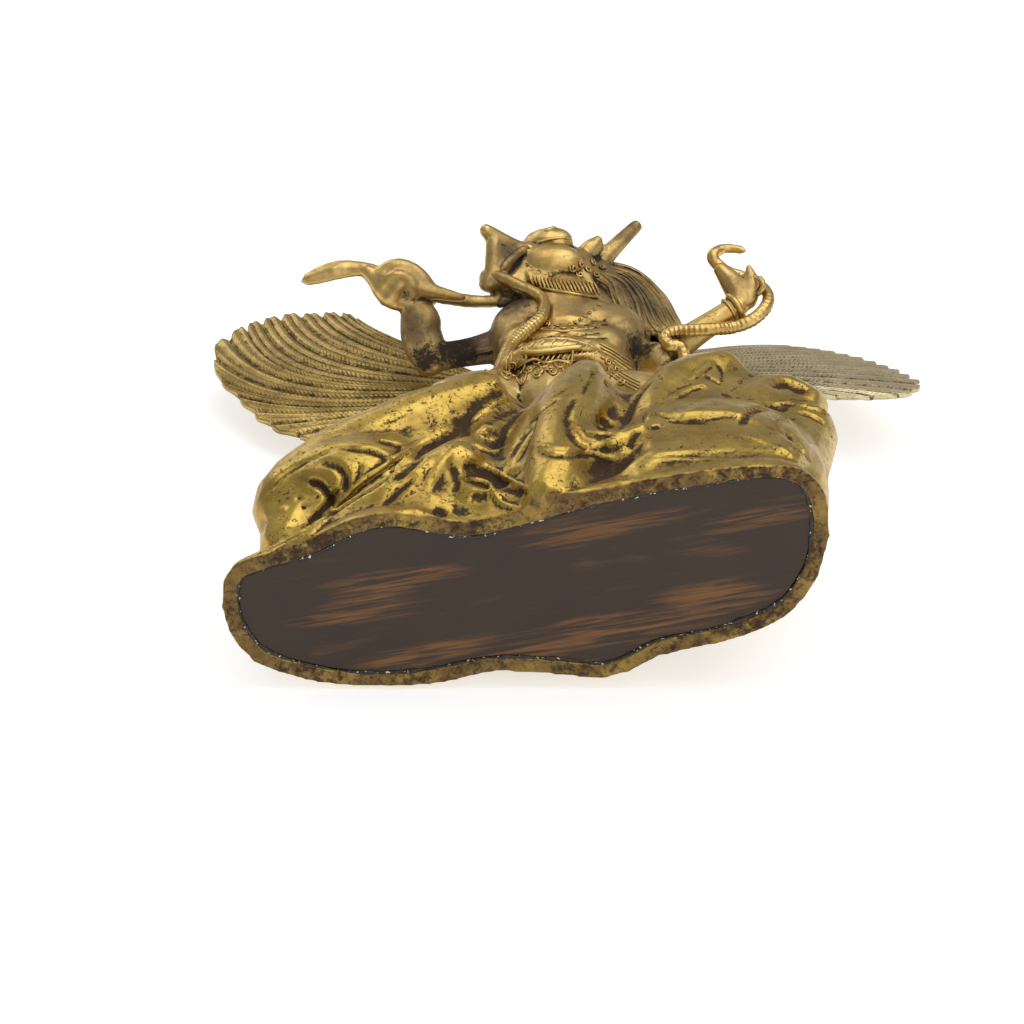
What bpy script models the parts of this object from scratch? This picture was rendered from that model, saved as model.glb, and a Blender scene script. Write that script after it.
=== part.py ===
# Garuda statue: a gilt bronze bird man on a rock base, with a snake in both hands and the beak,
# two cast wings, and a dark wooden board that closes the underside.
# The statue stands upright, its front faces -Y and its underside is the plane Z = 0.
import bmesh
import bpy
import math
from mathutils import Matrix, Vector

# Height from the underside to the tips of the horns.
HEIGHT = 0.3052
# The figure, the rocks and the wings keep their proportions as shares of the height.
STEP = HEIGHT / 305.2

# Independent sizes.
RIM_WIDTH = 0.0058
BOARD_THICKNESS = 0.0060
BOARD_RECESS = 0.0014
BOARD_SIDE_GAP = 0.0004
BOARD_TOP_GAP = 0.0004
PIECE_GAP = 0.00045
THINNING_ALLOWANCE = 0.0007
SNAKE_RADIUS = 0.0030
SNAKE_SIDES = 8
SNAKE_RING_SPACING = 0.0075
FEATHER_COUNT = 17
FEATHER_RINGS = 5
WING_THICKNESS = 0.0030
FEATHER_RELIEF = 0.0016
FEATHER_TIP_STEP = 0.0050

# Fineness of the castings.
ROCK_VOXEL = 0.0016
FIGURE_VOXEL = 0.0012
ROCK_FACES = 2300
FIGURE_FACES = 2900
GROWN_VOXEL = 0.0012
GROWN_FACES = 4000
WELD = 0.00005

# Colours are linear base colours.
GILDING = (0.62, 0.40, 0.09, 1.0)
PATINATED = (0.36, 0.24, 0.08, 1.0)
DARK_WOOD = (0.045, 0.022, 0.012, 1.0)

# Underside outline of the rocks, front edge from left to right and back edge from right to left.
RIM_OUTLINE = (
    (-115.7, 11), (-113, -1), (-103, -7), (-85, -13), (-72, -20), (-60, -25), (-47, -26), (-24, -22),
    (-12, -24), (5, -29), (22, -34.5), (50, -41), (80, -46), (95, -47), (105, -43.5), (111, -37),
    (114, -26), (114, -13), (111, 1), (102, 16), (88, 25), (71, 31), (54, 34.5), (43, 41),
    (30, 46), (8, 43.5), (-13, 43), (-30, 47), (-47, 50), (-68, 49.5), (-89, 45), (-104, 38.5),
    (-113, 26),
)


def clear_scene():
    for ob in list(bpy.data.objects):
        bpy.data.objects.remove(ob, do_unlink=True)
    for block in list(bpy.data.meshes):
        bpy.data.meshes.remove(block)
    for coll in list(bpy.data.collections):
        bpy.data.collections.remove(coll)


def collection(name):
    coll = bpy.data.collections.new(name)
    bpy.context.scene.collection.children.link(coll)
    return coll


def material(name, colour, roughness, metallic):
    mat = bpy.data.materials.new(name)
    mat.use_nodes = True
    shader = mat.node_tree.nodes["Principled BSDF"]
    shader.inputs["Base Color"].default_value = colour
    shader.inputs["Roughness"].default_value = roughness
    shader.inputs["Metallic"].default_value = metallic
    mat.diffuse_color = colour
    return mat


def mm(*xyz):
    return Vector(xyz) * STEP


def spline(points, count):
    """Even samples of a smooth line through the points; each point may carry radii after x, y, z."""
    ctrl = [tuple(float(v) for v in p) for p in points]
    ctrl = [ctrl[0]] + ctrl + [ctrl[-1]]
    dense = []
    for k in range(1, len(ctrl) - 2):
        a, b, c, d = ctrl[k - 1:k + 3]
        for s in range(12):
            t = s / 12.0
            dense.append([0.5 * (2 * q + (r - p) * t + (2 * p - 5 * q + 4 * r - u) * t * t
                                 + (3 * q - p - 3 * r + u) * t * t * t)
                          for p, q, r, u in zip(a, b, c, d)])
    dense.append(list(ctrl[-2]))
    length = [0.0]
    for p, q in zip(dense, dense[1:]):
        length.append(length[-1] + math.dist(p[:3], q[:3]))
    out = []
    k = 0
    for i in range(count):
        want = length[-1] * i / (count - 1)
        while k < len(dense) - 2 and length[k + 1] < want:
            k += 1
        span = max(length[k + 1] - length[k], 1e-9)
        t = min(max((want - length[k]) / span, 0.0), 1.0)
        out.append([p + (q - p) * t for p, q in zip(dense[k], dense[k + 1])])
    return out


def spline_length(points):
    line = spline(points, 160)
    return sum(math.dist(p[:3], q[:3]) for p, q in zip(line, line[1:]))


def tube(bm, points, sides=12, count=None, flat=1.0, side_hint=(0, -1, 0), scale=None):
    """Round or flattened tapering rod along points of (x, y, z, radius)."""
    k = STEP if scale is None else scale
    count = count or max(4, 3 * len(points))
    line = spline(points, count)
    centre = [Vector(p[:3]) * k for p in line]
    radius = [p[3] * k for p in line]
    hint = Vector(side_hint).normalized()
    rings = []
    for i, c in enumerate(centre):
        along = centre[min(i + 1, count - 1)] - centre[max(i - 1, 0)]
        along.normalize()
        thin = hint - along * hint.dot(along)
        if thin.length < 0.05:
            thin = along.orthogonal()
        thin.normalize()
        if flat == 1.0:
            hint = thin
        wide = along.cross(thin)
        ring = []
        for s in range(sides):
            ang = 2 * math.pi * s / sides
            ring.append(bm.verts.new(c + wide * math.cos(ang) * radius[i]
                                     + thin * math.sin(ang) * radius[i] * flat))
        rings.append(ring)
    for ring_a, ring_b in zip(rings, rings[1:]):
        for s in range(sides):
            t = (s + 1) % sides
            bm.faces.new((ring_a[s], ring_a[t], ring_b[t], ring_b[s]))
    for ring, end, flip in ((rings[0], 0, True), (rings[-1], count - 1, False)):
        out = centre[end] - centre[1 if end == 0 else end - 1]
        out.normalize()
        tip = bm.verts.new(centre[end] + out * radius[end] * 0.7)
        for s in range(sides):
            t = (s + 1) % sides
            tri = (ring[t], ring[s], tip) if flip else (ring[s], ring[t], tip)
            bm.faces.new(tri)


def blob(bm, centre, radii, turn=(0, 0, 0)):
    """Ellipsoid with its centre and radii in steps, turned by degrees about X, Y and Z."""
    spin = Matrix.Rotation(math.radians(turn[2]), 4, "Z")
    spin = spin @ Matrix.Rotation(math.radians(turn[1]), 4, "Y")
    spin = spin @ Matrix.Rotation(math.radians(turn[0]), 4, "X")
    size = Matrix.Diagonal((*[r * STEP for r in radii], 1.0))
    bmesh.ops.create_icosphere(bm, subdivisions=3, radius=1.0,
                               matrix=Matrix.Translation(mm(*centre)) @ spin @ size)


def prism(bm, outline, low, high):
    """Upright prism on an outline of (x, y) in metres between two heights in metres."""
    bottom = [bm.verts.new((x, y, low)) for x, y in outline]
    top = [bm.verts.new((x, y, high)) for x, y in outline]
    bm.faces.new(list(reversed(bottom)))
    bm.faces.new(top)
    for i in range(len(outline)):
        j = (i + 1) % len(outline)
        bm.faces.new((bottom[i], bottom[j], top[j], top[i]))


def loft(bm, levels):
    """Closed skin over outlines of equal length, each (list of (x, y), height) in metres."""
    rings = [[bm.verts.new((x, y, z)) for x, y in outline] for outline, z in levels]
    for low, high in zip(rings, rings[1:]):
        for i in range(len(low)):
            j = (i + 1) % len(low)
            bm.faces.new((low[i], low[j], high[j], high[i]))
    bm.faces.new(list(reversed(rings[0])))
    bm.faces.new(rings[-1])


def new_object(name, bm, coll, mat=None):
    bmesh.ops.recalc_face_normals(bm, faces=bm.faces[:])
    mesh = bpy.data.meshes.new(name)
    bm.to_mesh(mesh)
    bm.free()
    ob = bpy.data.objects.new(name, mesh)
    coll.objects.link(ob)
    if mat:
        mesh.materials.append(mat)
    return ob


def bake(ob):
    """Replaces the mesh by the result of its modifiers."""
    graph = bpy.context.evaluated_depsgraph_get()
    graph.update()
    mesh = bpy.data.meshes.new_from_object(ob.evaluated_get(graph))
    old = ob.data
    ob.modifiers.clear()
    ob.data = mesh
    bpy.data.meshes.remove(old)
    mesh.name = ob.name


def largest_shell(ob):
    """Keeps the one connected body and drops loose crumbs of the casting."""
    bm = bmesh.new()
    bm.from_mesh(ob.data)
    bm.verts.ensure_lookup_table()
    seen = set()
    shells = []
    for start in bm.verts:
        if start in seen:
            continue
        shell = []
        queue = [start]
        seen.add(start)
        while queue:
            v = queue.pop()
            shell.append(v)
            for e in v.link_edges:
                w = e.other_vert(v)
                if w not in seen:
                    seen.add(w)
                    queue.append(w)
        shells.append(shell)
    shells.sort(key=len)
    for shell in shells[:-1]:
        bmesh.ops.delete(bm, geom=shell, context="VERTS")
    bm.to_mesh(ob.data)
    bm.free()
    return len(shells)


def cast(ob, voxel, faces, smooth=3):
    """Runs the joined forms together as one casting and thins its faces."""
    mod = ob.modifiers.new("fuse", "REMESH")
    mod.mode = "VOXEL"
    mod.voxel_size = voxel
    mod = ob.modifiers.new("soften", "SMOOTH")
    mod.factor = 0.5
    mod.iterations = smooth
    bake(ob)
    largest_shell(ob)
    thin(ob, faces)


def thin(ob, faces):
    ob.data.calc_loop_triangles()
    mod = ob.modifiers.new("thin", "DECIMATE")
    mod.ratio = min(1.0, faces / max(1, len(ob.data.loop_triangles)))
    bake(ob)


def grown(ob, gap, coll):
    """A copy of the piece made larger all round by the gap, to cut room for it in its neighbour."""
    copy = bpy.data.objects.new(ob.name + "_room", ob.data.copy())
    coll.objects.link(copy)
    copy.hide_render = True
    copy.display_type = "WIRE"
    mod = copy.modifiers.new("grow", "DISPLACE")
    mod.strength = gap
    mod.mid_level = 0.0
    bake(copy)
    cast(copy, GROWN_VOXEL, GROWN_FACES, smooth=0)
    return copy


def cut(ob, cutter):
    mod = ob.modifiers.new("cut", "BOOLEAN")
    mod.operation = "DIFFERENCE"
    mod.solver = "EXACT"
    mod.object = cutter
    bake(ob)
    bm = bmesh.new()
    bm.from_mesh(ob.data)
    bmesh.ops.remove_doubles(bm, verts=bm.verts[:], dist=WELD)
    bmesh.ops.triangulate(bm, faces=bm.faces[:])
    bm.to_mesh(ob.data)
    bm.free()


def as_cutter(name, bm, coll):
    ob = new_object(name, bm, coll)
    ob.hide_render = True
    ob.display_type = "WIRE"
    return ob


def smooth_outline(points, count):
    """Even closed outline through the points, in metres."""
    closed = list(points) + list(points[:3])
    line = spline([(x, y, 0.0) for x, y in points[-2:] + tuple(closed)], 40 * len(points))
    first = 2.0 / (len(points) + 4)
    start = min(range(len(line) // 4), key=lambda i: math.dist(line[i][:2], points[0]))
    end = min(range(len(line) * 3 // 4, len(line)), key=lambda i: math.dist(line[i][:2], points[0]))
    ring = line[start:end]
    step = len(ring) / count
    return [(ring[int(i * step)][0] * STEP, ring[int(i * step)][1] * STEP) for i in range(count)]


def inset(outline, amount):
    """The outline moved inwards by the amount along its own normals."""
    n = len(outline)
    out = []
    for i in range(n):
        ax, ay = outline[i - 1]
        bx, by = outline[(i + 1) % n]
        dx, dy = bx - ax, by - ay
        size = math.hypot(dx, dy)
        x, y = outline[i]
        out.append((x - dy / size * amount, y + dx / size * amount))
    return out


def shrink(outline, share, shift=(0.0, 0.0)):
    cx = sum(p[0] for p in outline) / len(outline)
    cy = sum(p[1] for p in outline) / len(outline)
    return [(cx + (x - cx) * share[0] + shift[0] * STEP, cy + (y - cy) * share[1] + shift[1] * STEP)
            for x, y in outline]


def rock_forms(bm, outline):
    """The rim wall, the hidden mass and the folded slabs of the rocks."""
    loft(bm, (
        (outline, -4 * STEP),
        (outline, 4 * STEP),
        (shrink(outline, (0.965, 0.95), (2, 0)), 12 * STEP),
        (shrink(outline, (0.87, 0.84), (5, 1)), 26 * STEP),
        (shrink(outline, (0.80, 0.70), (6, 3)), 48 * STEP),
        (shrink(outline, (0.70, 0.56), (12, 4)), 72 * STEP),
        (shrink(outline, (0.52, 0.48), (16, 6)), 90 * STEP),
        (shrink(outline, (0.40, 0.42), (14, 8)), 97 * STEP),
    ))
    # Left slab, a long rounded leaf that overhangs at its end.
    tube(bm, ((-93, 3, 50, 14), (-92, 0, 60, 16), (-76, -7, 76, 16), (-50, -16, 88, 15),
              (-28, -22, 98, 13), (-15, -25, 105, 11)), count=16)
    tube(bm, ((-92, 8, 36, 13), (-84, 0, 54, 14), (-60, -8, 68, 14), (-34, -14, 78, 12)), count=14)
    tube(bm, ((-80, 6, 74, 12), (-54, -2, 88, 12), (-28, -8, 97, 10)), count=10)
    # Ridge that climbs from the rim at the left, with its knob.
    tube(bm, ((-109, 7, 3, 6), (-86, -6, 8, 7), (-67, -14, 17, 7.5), (-48, -24, 23, 8),
              (-29, -30, 35, 8)), count=14)
    blob(bm, (-26, -30, 37), (10, 8, 9))
    tube(bm, ((-70, -8, 8, 9), (-46, -16, 12, 10), (-24, -18, 18, 9)), count=8)
    # Folds round the front hollow.
    tube(bm, ((-27, -27, 22, 3.6), (-18, -27, 13, 3.6), (-6, -28, 12, 3.6), (2, -30, 23, 4.4),
              (3, -30, 40, 4.6)), count=14)
    tube(bm, ((-24, -20, 62, 8), (-15, -19, 46, 8), (-8, -19, 28, 8)), count=8)
    # Middle lobe that rises to a rounded peak.
    tube(bm, ((8, -32, 6, 8), (12, -34, 20, 10), (14, -33, 44, 13), (18, -31, 70, 15),
              (23, -29, 94, 14), (26, -28, 112, 10)), count=16)
    tube(bm, ((0, -26, 30, 8), (4, -24, 56, 11), (11, -24, 82, 12), (18, -24, 102, 10)), count=12)
    # Right slab, broad and bent, with two rounded heads.
    blob(bm, (82, -8, 52), (38, 31, 58))
    tube(bm, ((50, -22, 60, 12), (54, -24, 86, 13), (66, -25, 112, 13), (82, -24, 126, 11.5)), count=12)
    tube(bm, ((62, -20, 60, 16), (70, -20, 90, 16), (82, -18, 112, 14)), count=10)
    tube(bm, ((80, -14, 66, 18), (92, -16, 96, 17), (105, -16, 117, 13), (115, -14, 113, 12)), count=12)
    tube(bm, ((92, -14, 24, 19), (103, -14, 56, 17), (113, -13, 92, 15)), count=10)
    # Fold that frames the hollow under the right slab and the flat slab below it.
    tube(bm, ((22, -33, 42, 8), (34, -36, 36, 7), (50, -36, 44, 7.5), (70, -37, 54, 8)), count=10)
    tube(bm, ((44, -33, 12, 9), (62, -36, 30, 10), (80, -36, 36, 11), (98, -34, 24, 11)), count=12)
    # Back slopes, plainer.
    tube(bm, ((-78, 28, 10, 17), (-58, 28, 44, 17), (-34, 24, 70, 16), (-8, 20, 86, 13)), count=12)
    tube(bm, ((-40, 33, 8, 15), (-24, 30, 46, 15), (0, 24, 74, 14)), count=10)
    tube(bm, ((20, 30, 8, 14), (34, 27, 44, 15), (42, 18, 80, 15)), count=10)
    tube(bm, ((78, 12, 8, 18), (84, 9, 48, 18), (78, 2, 86, 16)), count=10)


def build_rock(coll, cutters, mat, outline, figure_room):
    bm = bmesh.new()
    rock_forms(bm, outline)
    ob = new_object("rock_base", bm, coll, mat)
    cast(ob, ROCK_VOXEL, ROCK_FACES + 400)
    cut(ob, figure_room)
    thin(ob, ROCK_FACES)
    # Everything below the ground goes, which leaves the flat rim.
    bm = bmesh.new()
    prism(bm, ((-0.3, -0.3), (0.3, -0.3), (0.3, 0.3), (-0.3, 0.3)), -0.1, 0.0)
    cut(ob, as_cutter("ground", bm, cutters))
    # Recess for the board.
    bm = bmesh.new()
    prism(bm, inset(outline, RIM_WIDTH), -0.01, BOARD_RECESS + BOARD_THICKNESS + BOARD_TOP_GAP)
    cut(ob, as_cutter("board_recess", bm, cutters))
    return ob


def build_board(coll, mat, outline):
    bm = bmesh.new()
    prism(bm, inset(outline, RIM_WIDTH + BOARD_SIDE_GAP), BOARD_RECESS, BOARD_RECESS + BOARD_THICKNESS)
    return new_object("base_board", bm, coll, mat)


def figure_forms(bm):
    """The bird man: legs, skirt, torso, arms, neck, head, beak, horns and mane."""
    for side, hip, knee, ankle in ((-1, (0, 12, 160), (-32, -4, 142), (-16, 6, 108)),
                                   (1, (28, 12, 160), (60, -4, 142), (46, 8, 108))):
        mid = [(h + k) / 2 for h, k in zip(hip, knee)]
        tube(bm, ((*hip, 16), (mid[0], mid[1] - 2, mid[2] + 3, 14.5), (*knee, 10.5)), count=8)
        tube(bm, ((*knee, 10), ((knee[0] + ankle[0]) / 2 + 2 * side, 3, 124, 8.5), (*ankle, 5.5)), count=8)
        # Foot with three clawed toes and a back toe.
        foot = (ankle[0] + side, 2, 102)
        blob(bm, foot, (8, 9, 6))
        for turn in (-32, 0, 32):
            a = math.radians(turn + side * 8)
            tip = (foot[0] + math.sin(a) * 19, foot[1] - math.cos(a) * 19, 98.5)
            tube(bm, ((*foot, 4.6), ((foot[0] + tip[0]) / 2, (foot[1] + tip[1]) / 2, 103.5, 4.2), (*tip, 2.6)),
                 count=7)
        tube(bm, ((*foot, 4.5), (foot[0], foot[1] + 9, 102, 3.6), (foot[0], foot[1] + 15, 99, 2.4)), count=6)
    # Hips, feather skirt and belly.
    blob(bm, (13, 12, 162), (31, 20, 17))
    tube(bm, ((13, 11, 158, 24), (13, 10, 172, 22), (14, 10, 188, 20)), count=8)
    tube(bm, ((-14, 6, 170, 5), (-4, -8, 172, 5), (14, -14, 173, 5), (32, -8, 174, 5), (40, 6, 174, 5),
              (36, 24, 173, 5), (14, 31, 172, 5), (-8, 24, 171, 5), (-14, 6, 170, 5)), count=26)
    # Chest, flanks and shoulders.
    blob(bm, (19, 12, 208), (31, 20, 25))
    blob(bm, (14, 9, 190), (25, 20, 18))
    blob(bm, (3, 5, 214), (15, 12, 14))
    blob(bm, (34, 5, 214), (15, 12, 14))
    blob(bm, (44, 8, 226), (16, 15, 16))
    blob(bm, (-6, 10, 226), (12, 12, 12))
    # Neck, broad at the throat.
    tube(bm, ((20, 8, 224, 19), (20, 4, 238, 16), (19, -1, 252, 14.5)), count=8)
    # Left arm, bent up at the elbow; the hand is a knot round the snake.
    tube(bm, ((-6, 10, 230, 11), (-24, 10, 225, 8), (-40, 11, 221, 7.5)), count=9)
    tube(bm, ((-41, 12, 219, 8.5), (-45, 5, 224, 9.5), (-47, -3, 229, 8.5), (-49, -10, 234, 7)), count=10)
    tube(bm, ((-46, -6, 231, 9.2), (-47.5, -8.5, 232.8, 9.2)), count=4)
    blob(bm, (-54, -17, 238), (12, 10.5, 9.5), (0, 18, 0))
    tube(bm, ((-64, -13, 240, 4), (-60, -22, 245, 4.4), (-51, -25, 245, 4.6), (-43, -20, 240, 4.4),
              (-44, -11, 235, 4)), count=12)
    # Right arm, held out; the hand is open above the snake.
    tube(bm, ((44, 12, 230, 13), (54, 13, 218, 10), (62, 10, 210, 8)), count=9)
    tube(bm, ((61, 9, 210, 8), (74, 1, 218, 7.2), (86, -5, 224, 6.6), (96, -10, 228, 6)), count=10)
    tube(bm, ((94, -9, 227.4, 7.2), (97, -10.5, 229, 7.2)), count=4)
    blob(bm, (99, -15, 236), (6.5, 7, 8))
    tube(bm, ((95, -16, 239, 4.2), (91, -21, 243, 3.6), (88, -24, 246, 2.6)), count=8)
    tube(bm, ((101, -16, 240, 4), (101, -20, 243, 3.2), (101, -25, 246, 1.9)), count=7)
    # Head with brow, eye domes and cheeks.
    blob(bm, (18, -3, 271), (19, 18, 18))
    blob(bm, (15, -20, 276), (12, 7.5, 8), (0, 0, -15))
    blob(bm, (13, -15, 264), (15, 9.5, 9.5), (0, 0, -5))
    blob(bm, (1, -3, 274), (11, 12, 11))
    blob(bm, (10, -8, 257), (15, 9, 7))
    # Open hooked beak: ridge, front edge, side and lower jaw.
    tube(bm, ((8, -18, 271, 8), (-2, -22, 268, 6.2), (-10, -27, 265, 5), (-15, -31, 263, 4),
              (-17, -33, 262, 3.1)), count=11)
    tube(bm, ((-13, -28, 262, 4.4), (-13.5, -22, 257, 4.2), (-14, -16, 252, 4.2), (-16, -12, 248.5, 4.6)),
         count=9)
    tube(bm, ((6, -14, 266, 7), (-4, -18, 262, 5.4), (-10, -22, 259, 4.6)), count=8)
    tube(bm, ((8, -8, 258, 8), (-2, -9, 254, 6), (-10, -11, 250, 4)), count=8)
    # Jaw fringe of short feathers.
    for i in range(9):
        t = i / 8.0
        a = (2 + 27 * t, -15 + 4 * t, 256 + 4 * t)
        tube(bm, ((*a, 3.2), (a[0] + 2.5, a[1] + 2, a[2] - 7, 2.6)), sides=8, count=4)
    # Ear leaves and horns on both sides.
    for far in (0, 1):
        shift = Vector((-17, 26, 4)) * far
        for pts in (((26, -10, 278, 5), (31, -15, 282, 5.2), (35, -18, 286, 3)),
                    ((32, -5, 280, 7), (38, -10, 284, 4.4), (46, -16, 291, 3.5), (56, -22, 299, 3.0))):
            tube(bm, [(*(Vector(p[:3]) + shift), p[3]) for p in pts], sides=10, count=8)
    # Mane swept back to the right, as overlapping locks.
    blob(bm, (32, 4, 276), (17, 17, 17))
    outer = ((34, -2, 284), (49, 2, 282), (60, 5, 267), (66, 7, 250), (72, 6, 233))
    inner = ((34, -5, 266), (40, -1, 260), (44, 1, 250), (48, 3, 240), (51, 4, 229))
    far = ((20, 13, 284), (32, 19, 277), (42, 20, 260), (50, 18, 243), (56, 15, 229))
    for ends, number in (((inner, outer), 5), ((outer, far), 4)):
        for i in range(number):
            t = i / (number - 1.0) if ends[0] is inner else (i + 1.0) / number
            pts = []
            for k, (p, q) in enumerate(zip(*ends)):
                pts.append((*[u + (v - u) * t for u, v in zip(p, q)], (7.5, 7.5, 6.8, 5.4, 2.4)[k]))
            tube(bm, pts, sides=10, count=14)
    tube(bm, ((28, 6, 270, 14), (38, 10, 260, 13), (46, 12, 246, 10), (52, 12, 233, 6)), count=10)
    tube(bm, ((24, 2, 262, 12), (32, 3, 250, 11), (38, 5, 238, 9)), count=8)
    # Tail feathers down the back of the skirt.
    for i in range(5):
        t = i / 4.0 - 0.5
        tube(bm, ((13 + 16 * t, 26, 170, 7), (13 + 34 * t, 33, 152, 7), (13 + 50 * t, 37, 132, 5.5),
                  (13 + 58 * t, 38, 114, 2.5)), sides=10, count=10, flat=0.55, side_hint=(0, 1, 0))


SNAKE_PATH = (
    (-100, -17, 240), (-95, -19, 240), (-85, -22, 241), (-76, -23, 241), (-67, -22, 240), (-55, -16, 239),
    (-42, -12, 238), (-27, -7, 242), (-14, -3, 246), (-10, -7, 249), (-5, -10.5, 249), (3, -10.5, 246),
    (9.5, -9, 241), (8.5, -8, 229), (2, -8, 216), (-5, -7, 204), (-9, -8, 190), (-11, -9, 172),
    (-14, -11, 156), (-19, -10, 138), (-25, 4, 126), (-26, 30, 124), (-4, 46, 134), (26, 46, 154),
    (49, 32, 178), (59, 14, 196), (59, 3, 206), (64, -1, 213), (73, -4, 218), (85, -5, 222),
    (97, -5, 225), (107, -6, 230), (112, -11, 235), (110, -15, 240), (105, -17, 243), (99, -17, 244),
    (92, -20, 244), (87, -25, 246), (87, -29, 248), (92, -30, 250), (101, -27, 250),
)


def snake_line(extra):
    """Points of the snake with its radius; extra is added all round."""
    last = len(SNAKE_PATH) - 1
    rad = SNAKE_RADIUS / STEP
    out = []
    for i, p in enumerate(SNAKE_PATH):
        share = 1.0
        if i == 0:
            share = 0.55
        elif i in (1, 3):
            share = 1.35
        elif i == 2:
            share = 1.8
        elif i > last - 5:
            share = 0.9 - 0.14 * (i - last + 4)
        out.append((*p, rad * share + extra / STEP))
    return out


def build_snake(coll, mat):
    pts = snake_line(0.0)
    count = int(spline_length(pts) * STEP / SNAKE_RING_SPACING)
    bm = bmesh.new()
    tube(bm, pts, sides=SNAKE_SIDES, count=count)
    ob = new_object("snake", bm, coll, mat)
    mod = ob.modifiers.new("weld", "TRIANGULATE")
    bake(ob)
    return ob


def snake_room(coll):
    pts = snake_line(PIECE_GAP + THINNING_ALLOWANCE)
    count = int(spline_length(pts) * STEP / SNAKE_RING_SPACING)
    bm = bmesh.new()
    tube(bm, pts, sides=SNAKE_SIDES, count=count)
    return as_cutter("snake_room", bm, coll)


WINGS = {
    "left_wing": {
        "hub": ((-8, 214), (-10, 232)),
        "tips": ((-70, 196), (-103, 194), (-118, 200), (-129, 211), (-136, 223), (-141, 238), (-144, 255),
                 (-135, 270), (-121, 279), (-105, 285), (-90, 290), (-74, 290)),
        "bend": (2, 12, 18, 16, 10),
        "plane": (36, 195, -0.168),
        "cup": 3.0,
    },
    "right_wing": {
        "hub": (( 40, 214), (40, 232)),
        "tips": ((112, 196), (140, 193), (158, 193), (170, 197), (179, 214), (176, 230), (171, 243),
                 (163, 258), (153, 272), (141, 283), (127, 291), (108, 284)),
        "bend": (0, 3, -4, -8, -6),
        "plane": (16, 195, 0.216),
        "cup": 3.0,
    },
}


def wing_grid(spec, rows):
    """Middle surface of a wing: each feather has one valley line and two crest lines."""
    lines = 3 * FEATHER_COUNT + 1
    y0, z0, lean = spec["plane"]
    tips = spline([(x, z, 0) for x, z in spec["tips"]], lines)
    bends = spline([(b, 0, 0) for b in spec["bend"]], 60)
    (ax, az), (bx, bz) = spec["hub"]
    side = -1 if tips[0][0] < 0 else 1
    grid = []
    for k in range(lines):
        v = k / (lines - 1)
        root = Vector((ax + (bx - ax) * v, az + (bz - az) * v))
        tip = Vector(tips[k][:2])
        chord = tip - root
        normal = Vector((chord.y, -chord.x)).normalized() * side
        idx = min(len(spec["bend"]) - 1.001, v * (len(spec["bend"]) - 1))
        low = int(idx)
        bend = spec["bend"][low] * (1 - idx + low) + spec["bend"][low + 1] * (idx - low)
        crest = k % 3 != 0
        reach = 1.0 if crest else 1.0 - FEATHER_TIP_STEP / STEP / max(chord.length, 1.0)
        line = []
        for r in range(rows + 1):
            t = r / rows * reach
            p = root + chord * t + normal * bend * 4 * t * (1 - t) * 0.75
            y = y0 + (p.y - z0) * lean + spec["cup"] * (2 * t - 1) ** 2
            blend = min(1.0, t * 3.0)
            y = 30 * (1 - blend) + y * blend
            line.append(Vector((p.x, y, p.y)) * STEP)
        grid.append(line)
    return grid


def skin_grids(bm, front, back):
    """Closed skin over two facing grids of points."""
    lines = len(front)
    rows = len(front[0])
    for k in range(lines - 1):
        for r in range(rows - 1):
            bm.faces.new((front[k][r], front[k][r + 1], front[k + 1][r + 1], front[k + 1][r]))
            bm.faces.new((back[k][r], back[k + 1][r], back[k + 1][r + 1], back[k][r + 1]))
        bm.faces.new((front[k][0], front[k + 1][0], back[k + 1][0], back[k][0]))
        bm.faces.new((front[k][-1], back[k][-1], back[k + 1][-1], front[k + 1][-1]))
    for r in range(rows - 1):
        bm.faces.new((front[0][r], back[0][r], back[0][r + 1], front[0][r + 1]))
        bm.faces.new((front[-1][r], front[-1][r + 1], back[-1][r + 1], back[-1][r]))


def build_wing(name, coll, mat):
    spec = WINGS[name]
    grid = wing_grid(spec, FEATHER_RINGS)
    lines = len(grid)
    rows = len(grid[0])
    bm = bmesh.new()
    front = []
    back = []
    for k, line in enumerate(grid):
        crest = k % 3 != 0
        f_row = []
        b_row = []
        for r, p in enumerate(line):
            relief = FEATHER_RELIEF * min(1.0, 0.35 + r / rows) * (0.5 if crest else -0.5)
            half = WING_THICKNESS * (0.9 - 0.5 * r / (rows - 1))
            f_row.append(bm.verts.new(p + Vector((0, -half - relief, 0))))
            b_row.append(bm.verts.new(p + Vector((0, half - relief, 0))))
        front.append(f_row)
        back.append(b_row)
    skin_grids(bm, front, back)
    bmesh.ops.triangulate(bm, faces=bm.faces[:])
    return new_object(name, bm, coll, mat)


def wing_slot(name, coll):
    """Plain slot for the root of a wing in the back of the figure."""
    grid = wing_grid(WINGS[name], 12)
    picks = [grid[round(i * (len(grid) - 1) / 4)] for i in range(5)]
    half = WING_THICKNESS * 0.9 + FEATHER_RELIEF * 0.5 + PIECE_GAP
    side = -1 if name == "left_wing" else 1
    bm = bmesh.new()
    front = []
    back = []
    for k, line in enumerate(picks):
        rise = Vector((0, 0, (-1, 0, 0, 0, 1)[k] * (PIECE_GAP + 0.0004)))
        inner = line[0] - Vector((side * PIECE_GAP, 0, 0))
        cells = [inner + rise] + [p + rise for p in line[1:5]]
        front.append([bm.verts.new(p + Vector((0, -half, 0))) for p in cells])
        back.append([bm.verts.new(p + Vector((0, half, 0))) for p in cells])
    skin_grids(bm, front, back)
    return as_cutter(name + "_slot", bm, coll)


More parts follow.
